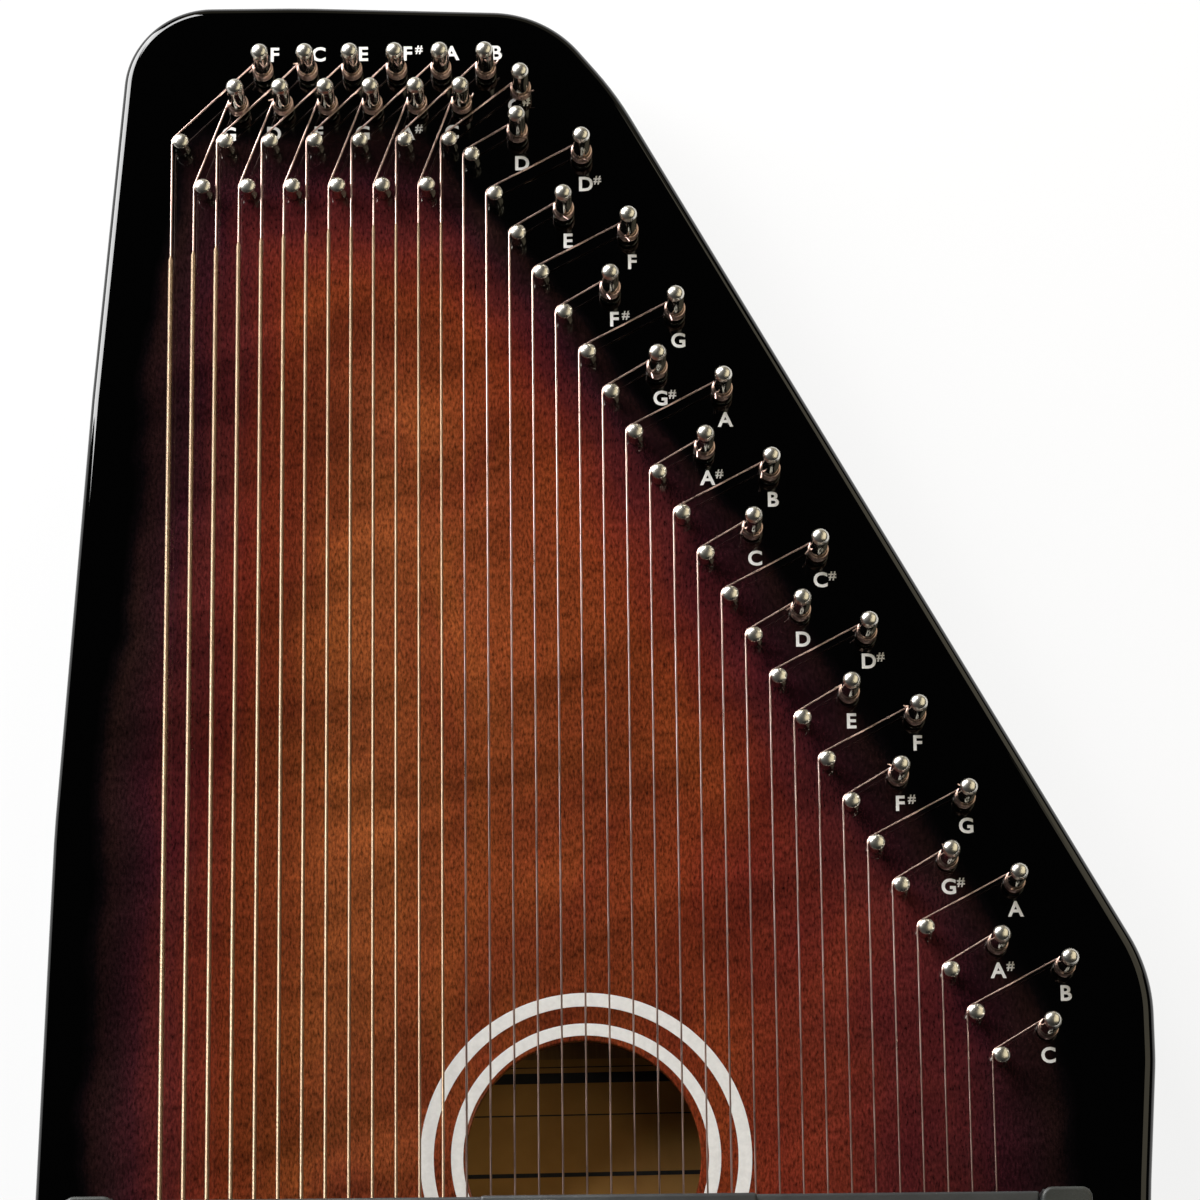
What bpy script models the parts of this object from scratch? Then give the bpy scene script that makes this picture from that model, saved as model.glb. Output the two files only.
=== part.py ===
"""Thirty-six string autoharp that lies on its back.

Metres, +Z up. X runs across the strings with the treble side at +X, and Y runs
along them towards the tuning pins. The origin lies under the middle of the
body's outline, on the surface that the back rests on.
"""
import math

import bmesh
import bpy
from mathutils import Matrix, Vector

# Clearances
FIT_GAP = 0.0003
TONGUE_SIDE_GAP = 0.0004

# Modelling tolerances
WELD_DISTANCE = 0.000001
LEVEL_TOLERANCE = 0.00001
FLAT_ANGLE = math.radians(0.5)
SHARP_ANGLE = math.radians(35)
WALL_NORMAL_Z = 0.5
MOST_OF_EDGE = 0.48

# Body
SOUNDBOARD_THICKNESS = 0.0035
BACK_THICKNESS = 0.0035
FRAME_DEPTH = 0.0274
SOUNDBOARD_EDGE_ROUND = 0.0030
BACK_EDGE_ROUND = 0.0020
EDGE_ROUND_SEGMENTS = 2
SIDE_RAIL_WIDTH = 0.018
BLOCK_BELOW_GUIDES = 0.012

# Strings, counted from the bass side
STRING_COUNT = 36
WOUND_COUNT = 13
FIRST_DIAGONAL = 14
BASS_PITCH = 0.00652
TREBLE_PITCH = 0.00664
BASS_MARGIN = 0.0379
TREBLE_MARGIN = 0.0463
STRING_LIFT = 0.0056
PLAIN_RADIUS_BASS = 0.00030
PLAIN_RADIUS_TREBLE = 0.00020
WOUND_RADIUS_BASS = 0.00075
WOUND_RADIUS_TREBLE = 0.00040
CORE_RADIUS = 0.00027
WINDING_STOPS_BELOW_FIRST_ROW = 0.0252
WINDING_STOPS_LOWER_IN_BASS = 0.0096
WINDING_STEP = 0.0012
STRING_STARTS_INSIDE_ANCHOR = 0.002

# Places along the strings, from the head to the tail
HEAD_MARGIN = 0.0447
BASS_ROW_STEP = 0.0139
DIAGONAL_START = 0.0047
DIAGONAL_DROP = 0.01206
BARS_BELOW_LAST_GUIDE = 0.0394
BRIDGE_BELOW_BARS = 0.0129
ANCHOR_BELOW_BRIDGE = 0.0160
TAIL_MARGIN = 0.0180

# Outline
BASS_CORNER_RADIUS = 0.0257
NECK_RADIUS = 0.0345
NECK_EASE_RADIUS = 0.100
SHOULDER_RADIUS = 0.066
TAIL_CORNER_RADIUS = 0.030
SIDE_BEND_RADIUS = 0.200
BASS_TOP_INSET = 0.0248
BASS_UPPER_INSET = 0.0147
BASS_UPPER_BELOW_HEAD = 0.120
BASS_BEND_INSET = 0.0061
BASS_BEND_BELOW_HEAD = 0.247
BASS_WAIST_BELOW_HEAD = 0.431
HEAD_FLAT_END = 0.0500
HEAD_FALL = 0.0025
NECK_BEYOND_FIRST_DIAGONAL = 0.0281
NECK_STARTS_BEFORE = 0.0065
NECK_EASES_OVER = 0.0285
SHOULDER_ABOVE_LAST_GUIDE = 0.0243
SHOULDER_FLAT = 0.025
TREBLE_WAIST_INSET = 0.0027
TREBLE_WAIST_BELOW_SHOULDER = 0.062
TREBLE_TAIL_INSET = 0.0115
ARC_STEP = math.radians(13)

# Sound hole
HOLE_RADIUS = 0.0326
HOLE_X = -0.0026
HOLE_ABOVE_BARS = 0.01296
HOLE_SIDES = 40

# Guide pins
GUIDE_RADIUS = 0.0020
GUIDE_HEAD_RADIUS = 0.0023
GUIDE_HEAD_UNDERSIDE = 0.0073
GUIDE_HEAD_SKIRT = 0.0004
GUIDE_CROWN_RADIUS = 0.0014
GUIDE_CROWN_DROP = 0.0002
GUIDE_HEIGHT = 0.0086
GUIDE_WRAP_STEPS = 2
GUIDE_SINK = 0.0012
PIN_SIDES = 8

# Tuning pins: places measured from their guide pins
PIN_RADIUS = 0.0025
PIN_HEIGHT = 0.0220
PIN_BURIED = 0.0190
PIN_DOME = 0.0024
PIN_CROWN_RADIUS = 0.0018
PIN_CROWN_DROP = 0.0007
PIN_TIP_TAPER = 0.0010
COIL_THICKNESS = 0.0005
COIL_LOW = 0.0030
COIL_HIGH = 0.0068
BORE_SPARE_DEPTH = 0.0010
ROW_FAR_OFFSET = (0.0236, 0.0226)
ROW_NEAR_OFFSET = (0.0100, 0.0258)
CORNER_OFFSET = (0.0208, 0.0160)
DIAGONAL_FAR_OFFSET = (0.0252, 0.0130)
DIAGONAL_NEAR_OFFSET = (0.0132, 0.0076)
LAST_ROW_STRING = 12
CORNER_STRING = 13

# Bridge and anchor bar
BRIDGE_WIDTH = 0.012
SADDLE_RADIUS = 0.0014
SADDLE_SHOWS = 0.0012
RAIL_OVERHANG = 0.008
ANCHOR_WIDTH = 0.010
ANCHOR_HEIGHT = 0.006
ANCHOR_EDGE = 0.0008

# Chord bars
BAR_COUNT = 15
BAR_PITCH = 0.0122
BAR_WIDTH = 0.0112
BAR_HEIGHT = 0.0065
BAR_EDGE = 0.0008
BAR_TRAVEL = 0.005
BAR_END_GAP = 0.0008
TONGUE_WIDTH = 0.008
TONGUE_LENGTH = 0.0095
FELT_WIDTH = 0.008
FELT_HEIGHT = 0.006
FELT_OVERHANG = 0.004
PLATEAU_LENGTH = 0.075
PLATEAU_X = 0.0068
PLATEAU_HEIGHT = 0.005
PLATEAU_SET_BACK = 0.0002
BUTTON_LENGTH = 0.021
BUTTON_WIDTH = 0.0064
BUTTON_HEIGHT = 0.007
BUTTON_EDGE = 0.0015
BUTTON_COLUMN_STEP = 0.0255
BUTTON_COLUMNS = 3

# Bar holders and their covers
HOLDER_WIDTH = 0.013
HOLDER_BEYOND_STRINGS = 0.0108
HOLDER_FLOOR = 0.0047
COVER_THICKNESS = 0.0022
COVER_OVERHANG = 0.0004
COVER_EDGE = 0.0009

# Heights
FRAME_BOTTOM = BACK_THICKNESS + FIT_GAP
FRAME_TOP = FRAME_BOTTOM + FRAME_DEPTH
BOARD_BOTTOM = FRAME_TOP + FIT_GAP
BOARD_TOP = BOARD_BOTTOM + SOUNDBOARD_THICKNESS
STRING_UNDERSIDE = BOARD_TOP + STRING_LIFT
FELT_BOTTOM = STRING_UNDERSIDE + 2 * WOUND_RADIUS_BASS + FIT_GAP + BAR_TRAVEL
BAR_BOTTOM = FELT_BOTTOM + FELT_HEIGHT
BAR_TOP = BAR_BOTTOM + BAR_HEIGHT
SEAT = BOARD_TOP + FIT_GAP

# Overall size, which follows from the strings
DIAGONAL_COUNT = STRING_COUNT - FIRST_DIAGONAL
STRING_SPREAD = (FIRST_DIAGONAL - 1) * BASS_PITCH + DIAGONAL_COUNT * TREBLE_PITCH
BODY_WIDTH = BASS_MARGIN + STRING_SPREAD + TREBLE_MARGIN
GUIDE_RUN = HEAD_MARGIN + DIAGONAL_START + DIAGONAL_COUNT * DIAGONAL_DROP
BARS_LENGTH = BAR_COUNT * BAR_PITCH
TAIL_RUN = BRIDGE_BELOW_BARS + ANCHOR_BELOW_BRIDGE + TAIL_MARGIN
BODY_LENGTH = GUIDE_RUN + BARS_BELOW_LAST_GUIDE + BARS_LENGTH + TAIL_RUN

SIDE_X = BODY_WIDTH / 2
HEAD_Y = BODY_LENGTH / 2
TAIL_Y = -BODY_LENGTH / 2
FIRST_ROW_Y = HEAD_Y - HEAD_MARGIN
BARS_HEAD_Y = HEAD_Y - GUIDE_RUN - BARS_BELOW_LAST_GUIDE
BARS_TAIL_Y = BARS_HEAD_Y - BARS_LENGTH
BRIDGE_Y = BARS_TAIL_Y - BRIDGE_BELOW_BARS
ANCHOR_Y = BRIDGE_Y - ANCHOR_BELOW_BRIDGE


def string_x(number):
    """Middle of string number 1 to STRING_COUNT, from the bass side."""
    bass_steps = min(number, FIRST_DIAGONAL) - 1
    treble_steps = max(number - FIRST_DIAGONAL, 0)
    return -SIDE_X + BASS_MARGIN + bass_steps * BASS_PITCH + treble_steps * TREBLE_PITCH


def end_radius(number):
    """Radius of a string where it turns round its guide pin."""
    if number <= WOUND_COUNT:
        return CORE_RADIUS
    share = (number - WOUND_COUNT - 1) / (STRING_COUNT - WOUND_COUNT - 1)
    return PLAIN_RADIUS_BASS + share * (PLAIN_RADIUS_TREBLE - PLAIN_RADIUS_BASS)


def main_radius(number):
    """Radius of a string along its speaking length."""
    if number > WOUND_COUNT:
        return end_radius(number)
    share = (number - 1) / (WOUND_COUNT - 1)
    return WOUND_RADIUS_BASS + share * (WOUND_RADIUS_TREBLE - WOUND_RADIUS_BASS)


def guide_place(number):
    """Axis of a guide pin: its string runs past it on the bass side."""
    x = string_x(number) + GUIDE_RADIUS + FIT_GAP + end_radius(number)
    if number >= FIRST_DIAGONAL:
        drop = DIAGONAL_START + (number - FIRST_DIAGONAL) * DIAGONAL_DROP
        return Vector((x, FIRST_ROW_Y - drop))
    if number % 2 == 1:
        return Vector((x, FIRST_ROW_Y))
    return Vector((x, FIRST_ROW_Y - BASS_ROW_STEP))


def pin_place(number):
    """Axis of a tuning pin. Odd strings go to the far row, even ones to the near row."""
    odd = number % 2 == 1
    if number == CORNER_STRING:
        offset = CORNER_OFFSET
    elif number <= LAST_ROW_STRING:
        offset = ROW_FAR_OFFSET if odd else ROW_NEAR_OFFSET
    else:
        offset = DIAGONAL_FAR_OFFSET if odd else DIAGONAL_NEAR_OFFSET
    return guide_place(number) + Vector(offset)


def bar_y(index):
    """Middle of chord bar number 0 to BAR_COUNT - 1, from the head."""
    return BARS_HEAD_Y - (index + 0.5) * BAR_PITCH


def clear_scene():
    """Remove whatever the file holds."""
    for obj in list(bpy.data.objects):
        bpy.data.objects.remove(obj, do_unlink=True)


def new_collection(name):
    collection = bpy.data.collections.new(name)
    bpy.context.scene.collection.children.link(collection)
    return collection


def principled(name, colour, roughness, metallic=0.0):
    """Plain Principled material."""
    material = bpy.data.materials.new(name)
    material.use_nodes = True
    shader = material.node_tree.nodes["Principled BSDF"]
    shader.inputs["Base Color"].default_value = (*colour, 1.0)
    shader.inputs["Roughness"].default_value = roughness
    shader.inputs["Metallic"].default_value = metallic
    material.diffuse_color = (*colour, 1.0)
    return material


def weld(mesh):
    """Merge the points that lie on each other."""
    work = bmesh.new()
    work.from_mesh(mesh)
    bmesh.ops.remove_doubles(work, verts=work.verts, dist=WELD_DISTANCE)
    work.to_mesh(mesh)
    work.free()


def evaluated_mesh(obj):
    """Welded mesh of an object with its modifiers, after which the object is removed."""
    bpy.context.view_layer.update()
    depsgraph = bpy.context.evaluated_depsgraph_get()
    mesh = bpy.data.meshes.new_from_object(obj.evaluated_get(depsgraph))
    mesh.name = obj.name
    bpy.data.objects.remove(obj, do_unlink=True)
    weld(mesh)
    return mesh


def new_object(name, data, collection, material=None):
    """Link an object, shaded smooth up to sharp edges."""
    obj = bpy.data.objects.new(name, data)
    collection.objects.link(obj)
    if material:
        data.materials.clear()
        data.materials.append(material)
    if isinstance(data, bpy.types.Mesh):
        data.shade_smooth()
        data.set_sharp_from_angle(angle=SHARP_ANGLE)
    return obj


def new_tool(name, mesh, collection):
    """Object that another one is cut by or joined to."""
    tool = new_object(name, mesh, collection)
    tool.hide_render = True
    tool.display_type = "WIRE"
    return tool


def add_boolean(target, operand, operation):
    """Exact Boolean of one object with another."""
    modifier = target.modifiers.new(operation.title(), "BOOLEAN")
    modifier.operation = operation
    modifier.solver = "EXACT"
    modifier.object = operand


def box_mesh(name, low, high, edge=0.0, segments=1):
    """Box between two corners, with its edges rounded."""
    low = Vector(low)
    high = Vector(high)
    work = bmesh.new()
    bmesh.ops.create_cube(work, size=1.0)
    bmesh.ops.scale(work, vec=high - low, verts=work.verts)
    bmesh.ops.translate(work, vec=(low + high) / 2, verts=work.verts)
    if edge > 0:
        bmesh.ops.bevel(work, geom=work.edges[:], offset=edge, segments=segments,
                        profile=0.5, affect="EDGES")
    mesh = bpy.data.meshes.new(name)
    work.to_mesh(mesh)
    work.free()
    return mesh


def turned_mesh(name, profile, sides):
    """Solid turned from a profile of (radius, height), from its top down the outside."""
    mesh = bpy.data.meshes.new(name)
    points = [(radius, 0.0, height) for radius, height in profile]
    edges = [(index, index + 1) for index in range(len(profile) - 1)]
    mesh.from_pydata(points, edges, [])
    obj = bpy.data.objects.new(name, mesh)
    bpy.context.scene.collection.objects.link(obj)
    screw = obj.modifiers.new("Turn", "SCREW")
    screw.steps = sides
    screw.render_steps = sides
    screw.use_merge_vertices = True
    screw.merge_threshold = LEVEL_TOLERANCE
    return evaluated_mesh(obj)


def cylinder_mesh(name, radius, low, high, sides):
    """Upright cylinder round the Z axis."""
    profile = [(0.0, high), (radius, high), (radius, low), (0.0, low)]
    return turned_mesh(name, profile, sides)


def copies_mesh(name, mesh, places):
    """One mesh that holds a copy of another at each place."""
    work = bmesh.new()
    for place in places:
        first = len(work.verts)
        work.from_mesh(mesh)
        work.verts.ensure_lookup_table()
        bmesh.ops.translate(work, vec=place, verts=work.verts[first:])
    joined = bpy.data.meshes.new(name)
    work.to_mesh(joined)
    work.free()
    return joined


def rounded_outline(corners):
    """Closed outline whose corners (x, y, radius) are rounded by arcs."""
    points = []
    for index, (x, y, radius) in enumerate(corners):
        here = Vector((x, y))
        before = Vector(corners[index - 1][:2])
        after = Vector(corners[(index + 1) % len(corners)][:2])
        into = (here - before).normalized()
        out = (after - here).normalized()
        turn = math.atan2(into.x * out.y - into.y * out.x, into.dot(out))
        room = MOST_OF_EDGE * min((here - before).length, (after - here).length)
        reach = min(radius * math.tan(abs(turn) / 2), room)
        if reach <= 0:
            points.append((x, y))
            continue
        arc_radius = math.copysign(reach / math.tan(abs(turn) / 2), turn)
        start = here - into * reach
        centre = start + Vector((-into.y, into.x)) * arc_radius
        steps = max(1, math.ceil(abs(turn) / ARC_STEP))
        for step in range(steps + 1):
            arm = start - centre
            arm.rotate(Matrix.Rotation(turn * step / steps, 2))
            points.append(tuple(centre + arm))
    return points


def plate_mesh(name, outlines, low, high):
    """Flat plate from closed outlines, the first one outside and the others holes."""
    curve = bpy.data.curves.new(name, "CURVE")
    curve.dimensions = "2D"
    curve.fill_mode = "BOTH"
    curve.extrude = (high - low) / 2
    for outline in outlines:
        spline = curve.splines.new("POLY")
        spline.points.add(len(outline) - 1)
        for point, (x, y) in zip(spline.points, outline):
            point.co = (x, y, 0.0, 1.0)
        spline.use_cyclic_u = True
    obj = bpy.data.objects.new(name, curve)
    bpy.context.scene.collection.objects.link(obj)
    mesh = evaluated_mesh(obj)
    mesh.transform(Matrix.Translation((0.0, 0.0, (low + high) / 2)))
    return mesh


def round_rim(mesh, level, radius):
    """Round the outer edge of a plate at one of its two levels."""
    work = bmesh.new()
    work.from_mesh(mesh)
    bmesh.ops.dissolve_limit(work, angle_limit=FLAT_ANGLE, verts=work.verts,
                             edges=work.edges)
    rim = []
    for edge in work.edges:
        on_level = all(abs(vert.co.z - level) < LEVEL_TOLERANCE for vert in edge.verts)
        beside_wall = any(abs(face.normal.z) < WALL_NORMAL_Z for face in edge.link_faces)
        if on_level and beside_wall:
            rim.append(edge)
    bmesh.ops.bevel(work, geom=rim, offset=radius, segments=EDGE_ROUND_SEGMENTS,
                    profile=0.5, affect="EDGES")
    work.to_mesh(mesh)
    work.free()


def body_outline():
    """Outline of the body, anticlockwise from the treble corner at the tail."""
    first_diagonal = guide_place(FIRST_DIAGONAL)
    last_guide = guide_place(STRING_COUNT)
    shoulder_y = last_guide.y + SHOULDER_ABOVE_LAST_GUIDE
    neck = Vector((first_diagonal.x + NECK_BEYOND_FIRST_DIAGONAL, HEAD_Y - HEAD_FALL))
    slant = (Vector((SIDE_X, shoulder_y)) - neck).normalized()
    ease = neck + slant * NECK_EASES_OVER
    return rounded_outline([
        (SIDE_X - TREBLE_TAIL_INSET, TAIL_Y, TAIL_CORNER_RADIUS),
        (SIDE_X - TREBLE_WAIST_INSET, shoulder_y - TREBLE_WAIST_BELOW_SHOULDER,
         SIDE_BEND_RADIUS),
        (SIDE_X, shoulder_y - SHOULDER_FLAT, SHOULDER_RADIUS),
        (SIDE_X, shoulder_y, SHOULDER_RADIUS),
        (ease.x, ease.y, NECK_EASE_RADIUS),
        (neck.x - NECK_STARTS_BEFORE, neck.y, NECK_RADIUS),
        (-SIDE_X + BASS_TOP_INSET + HEAD_FLAT_END, HEAD_Y, SIDE_BEND_RADIUS),
        (-SIDE_X + BASS_TOP_INSET, HEAD_Y, BASS_CORNER_RADIUS),
        (-SIDE_X + BASS_UPPER_INSET, HEAD_Y - BASS_UPPER_BELOW_HEAD, SIDE_BEND_RADIUS),
        (-SIDE_X + BASS_BEND_INSET, HEAD_Y - BASS_BEND_BELOW_HEAD, SIDE_BEND_RADIUS),
        (-SIDE_X, HEAD_Y - BASS_WAIST_BELOW_HEAD, SIDE_BEND_RADIUS),
        (-SIDE_X, TAIL_Y, TAIL_CORNER_RADIUS),
    ])


def chamber_outline():
    """Inside of the frame: the sound chamber between the rails and the pin block."""
    first_diagonal = guide_place(FIRST_DIAGONAL)
    last_guide = guide_place(STRING_COUNT)
    along = (last_guide - first_diagonal).normalized()
    inward = Vector((along.y, -along.x))
    block_edge = first_diagonal + inward * BLOCK_BELOW_GUIDES
    top = FIRST_ROW_Y - BASS_ROW_STEP - BLOCK_BELOW_GUIDES
    bottom = BRIDGE_Y + BRIDGE_WIDTH
    right = SIDE_X - TREBLE_WAIST_INSET - SIDE_RAIL_WIDTH
    knee_x = block_edge.x + (top - block_edge.y) * along.x / along.y
    elbow_y = block_edge.y + (right - block_edge.x) * along.y / along.x
    return [
        (SIDE_X - TREBLE_TAIL_INSET - SIDE_RAIL_WIDTH, bottom),
        (right, elbow_y),
        (knee_x, top),
        (-SIDE_X + BASS_TOP_INSET + SIDE_RAIL_WIDTH / 2, top),
        (-SIDE_X + BASS_UPPER_INSET + SIDE_RAIL_WIDTH, HEAD_Y - BASS_UPPER_BELOW_HEAD),
        (-SIDE_X + BASS_BEND_INSET + SIDE_RAIL_WIDTH, HEAD_Y - BASS_BEND_BELOW_HEAD),
        (-SIDE_X + SIDE_RAIL_WIDTH, HEAD_Y - BASS_WAIST_BELOW_HEAD),
        (-SIDE_X + SIDE_RAIL_WIDTH, bottom),
    ]


def bore_tool(name, low, high, tools):
    """Cutter for all the tuning-pin bores, clear of the pins all round."""
    radius = (PIN_RADIUS + FIT_GAP) / math.cos(math.pi / PIN_SIDES)
    bore = cylinder_mesh(name, radius, low, high, PIN_SIDES)
    places = [pin_place(number).to_3d() for number in range(1, STRING_COUNT + 1)]
    return new_tool(name, copies_mesh(name, bore, places), tools)


def guide_pin_mesh():
    """Guide pin with a domed head that keeps its string down."""
    profile = [
        (0.0, GUIDE_HEIGHT),
        (GUIDE_CROWN_RADIUS, GUIDE_HEIGHT - GUIDE_CROWN_DROP),
        (GUIDE_HEAD_RADIUS, GUIDE_HEAD_UNDERSIDE + GUIDE_HEAD_SKIRT),
        (GUIDE_RADIUS, GUIDE_HEAD_UNDERSIDE),
        (GUIDE_RADIUS, -GUIDE_SINK),
        (0.0, -GUIDE_SINK),
    ]
    return turned_mesh("guide_pin", profile, PIN_SIDES)


def make_soundboard(parts, tools, lacquer):
    """Top plate with its sound hole, pin holes and the pressed-in guide pins."""
    mesh = plate_mesh("soundboard", [body_outline()], BOARD_BOTTOM, BOARD_TOP)
    round_rim(mesh, BOARD_TOP, SOUNDBOARD_EDGE_ROUND)
    board = new_object("soundboard", mesh, parts, lacquer)
    past = SOUNDBOARD_THICKNESS
    hole = cylinder_mesh("sound_hole_cutter", HOLE_RADIUS, BOARD_BOTTOM - past,
                         BOARD_TOP + past, HOLE_SIDES)
    hole.transform(Matrix.Translation((HOLE_X, BARS_HEAD_Y + HOLE_ABOVE_BARS, 0.0)))
    add_boolean(board, new_tool("sound_hole_cutter", hole, tools), "DIFFERENCE")
    bores = bore_tool("board_bore_cutter", BOARD_BOTTOM - past, BOARD_TOP + past, tools)
    add_boolean(board, bores, "DIFFERENCE")
    places = [Vector((*guide_place(number), BOARD_TOP)) for number in range(1, STRING_COUNT + 1)]
    guides = copies_mesh("guide_pins", guide_pin_mesh(), places)
    add_boolean(board, new_tool("guide_pins", guides, tools), "UNION")


def make_frame(parts, tools, wood):
    """Glued-up frame: side rails, tail block and the pin block with its blind bores."""
    outlines = [body_outline(), chamber_outline()]
    mesh = plate_mesh("frame", outlines, FRAME_BOTTOM, FRAME_TOP)
    frame = new_object("frame", mesh, parts, wood)
    low = BOARD_TOP - PIN_BURIED - BORE_SPARE_DEPTH
    bores = bore_tool("block_bore_cutter", low, BOARD_TOP, tools)
    add_boolean(frame, bores, "DIFFERENCE")


def make_back(parts, lacquer):
    """Back plate with a rounded lower edge."""
    mesh = plate_mesh("back_board", [body_outline()], 0.0, BACK_THICKNESS)
    round_rim(mesh, 0.0, BACK_EDGE_ROUND)
    new_object("back_board", mesh, parts, lacquer)


def make_tuning_pins(parts, steel):
    """Tuning pins, each with the collar of its string's turns."""
    coil_radius = PIN_RADIUS + COIL_THICKNESS
    profile = [
        (0.0, PIN_HEIGHT),
        (PIN_CROWN_RADIUS, PIN_HEIGHT - PIN_CROWN_DROP),
        (PIN_RADIUS, PIN_HEIGHT - PIN_DOME),
        (PIN_RADIUS, COIL_HIGH),
        (coil_radius, COIL_HIGH - COIL_THICKNESS),
        (coil_radius, COIL_LOW + COIL_THICKNESS),
        (PIN_RADIUS, COIL_LOW),
        (PIN_RADIUS, -PIN_BURIED + PIN_TIP_TAPER),
        (PIN_RADIUS - PIN_TIP_TAPER, -PIN_BURIED),
        (0.0, -PIN_BURIED),
    ]
    mesh = turned_mesh("tuning_pin", profile, PIN_SIDES)
    for number in range(1, STRING_COUNT + 1):
        pin = new_object(f"tuning_pin_{number:02d}", mesh, parts, steel)
        pin.location = (*pin_place(number), BOARD_TOP)


def winding_stop(number):
    """Where a winding ends near the head: the lower the string, the further from the pins."""
    share = (WOUND_COUNT - number) / (WOUND_COUNT - 1)
    below = WINDING_STOPS_BELOW_FIRST_ROW + WINDING_STOPS_LOWER_IN_BASS * share ** 2
    return FIRST_ROW_Y - below


def string_route(number):
    """Points and radii of a string from the anchor bar to its tuning pin."""
    x = string_x(number)
    guide = guide_place(number)
    pin = pin_place(number)
    thick = main_radius(number)
    thin = end_radius(number)
    level = STRING_UNDERSIDE + thick
    low_level = SEAT + ANCHOR_HEIGHT / 2
    start_y = ANCHOR_Y + ANCHOR_WIDTH / 2 - STRING_STARTS_INSIDE_ANCHOR
    route = [
        (Vector((x, start_y, low_level)), thick),
        (Vector((x, BRIDGE_Y, level)), thick),
    ]
    if number <= WOUND_COUNT:
        stop = winding_stop(number)
        route.append((Vector((x, stop - WINDING_STEP, level)), thick))
        route.append((Vector((x, stop, level)), thin))
    around_guide = GUIDE_RADIUS + FIT_GAP + thin
    around_pin = PIN_RADIUS + COIL_THICKNESS + FIT_GAP + thin
    reach = pin - guide
    lean = math.asin((around_guide - around_pin) / reach.length)
    heading = math.atan2(reach.y, reach.x) - lean
    leaving = heading + math.pi / 2
    for step in range(GUIDE_WRAP_STEPS + 1):
        angle = math.pi + (leaving - math.pi) * step / GUIDE_WRAP_STEPS
        arm = Vector((math.cos(angle), math.sin(angle))) * around_guide
        route.append((Vector((*(guide + arm), level)), thin))
    arm = Vector((math.cos(leaving), math.sin(leaving))) * around_pin
    route.append((Vector((*(pin + arm), level)), thin))
    return route


def string_mesh(number):
    """Tube along a string's route."""
    name = f"string_{number:02d}"
    curve = bpy.data.curves.new(name, "CURVE")
    curve.dimensions = "3D"
    curve.bevel_depth = PLAIN_RADIUS_BASS
    curve.bevel_resolution = 1
    curve.use_fill_caps = True
    route = string_route(number)
    spline = curve.splines.new("POLY")
    spline.points.add(len(route) - 1)
    for point, (place, radius) in zip(spline.points, route):
        point.co = (*place, 1.0)
        point.radius = radius / PLAIN_RADIUS_BASS
    obj = bpy.data.objects.new(name, curve)
    bpy.context.scene.collection.objects.link(obj)
    return evaluated_mesh(obj)


def rail_ends():
    """Ends along X of the bridge and the anchor bar."""
    return string_x(1) - RAIL_OVERHANG, string_x(STRING_COUNT) + RAIL_OVERHANG


def make_strings(parts, tools, steel):
    """All the strings, joined to the bar that anchors their ball ends."""
    left, right = rail_ends()
    low = (left, ANCHOR_Y - ANCHOR_WIDTH / 2, SEAT)
    high = (right, ANCHOR_Y + ANCHOR_WIDTH / 2, SEAT + ANCHOR_HEIGHT)
    anchor = box_mesh("strings_on_anchor_bar", low, high, ANCHOR_EDGE)
    obj = new_object("strings_on_anchor_bar", anchor, parts, steel)
    work = bmesh.new()
    for number in range(1, STRING_COUNT + 1):
        work.from_mesh(string_mesh(number))
    tubes = bpy.data.meshes.new("string_tubes")
    work.to_mesh(tubes)
    work.free()
    add_boolean(obj, new_tool("string_tubes", tubes, tools), "UNION")


def make_bridge(parts, tools, wood):
    """Rail with a round saddle that the strings cross."""
    left, right = rail_ends()
    saddle_top = STRING_UNDERSIDE - FIT_GAP
    low = (left, BRIDGE_Y - BRIDGE_WIDTH / 2, SEAT)
    high = (right, BRIDGE_Y + BRIDGE_WIDTH / 2, saddle_top - SADDLE_SHOWS)
    bridge = new_object("bridge", box_mesh("bridge", low, high, ANCHOR_EDGE), parts, wood)
    length = right - left - 2 * SADDLE_RADIUS
    saddle = cylinder_mesh("saddle", SADDLE_RADIUS, -length / 2, length / 2, PIN_SIDES)
    turn = Matrix.Rotation(math.pi / 2, 4, "Y")
    spin = Matrix.Rotation(math.pi / PIN_SIDES, 4, "Z")
    place = Vector(((left + right) / 2, BRIDGE_Y, saddle_top - SADDLE_RADIUS))
    saddle.transform(Matrix.Translation(place) @ turn @ spin)
    add_boolean(bridge, new_tool("saddle", saddle, tools), "UNION")


def holder_span(side):
    """Inner and outer X of the bar holder on side -1, bass, or +1, treble."""
    last_string = string_x(STRING_COUNT if side > 0 else 1)
    inner = last_string + side * HOLDER_BEYOND_STRINGS
    return inner, inner + side * HOLDER_WIDTH


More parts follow.
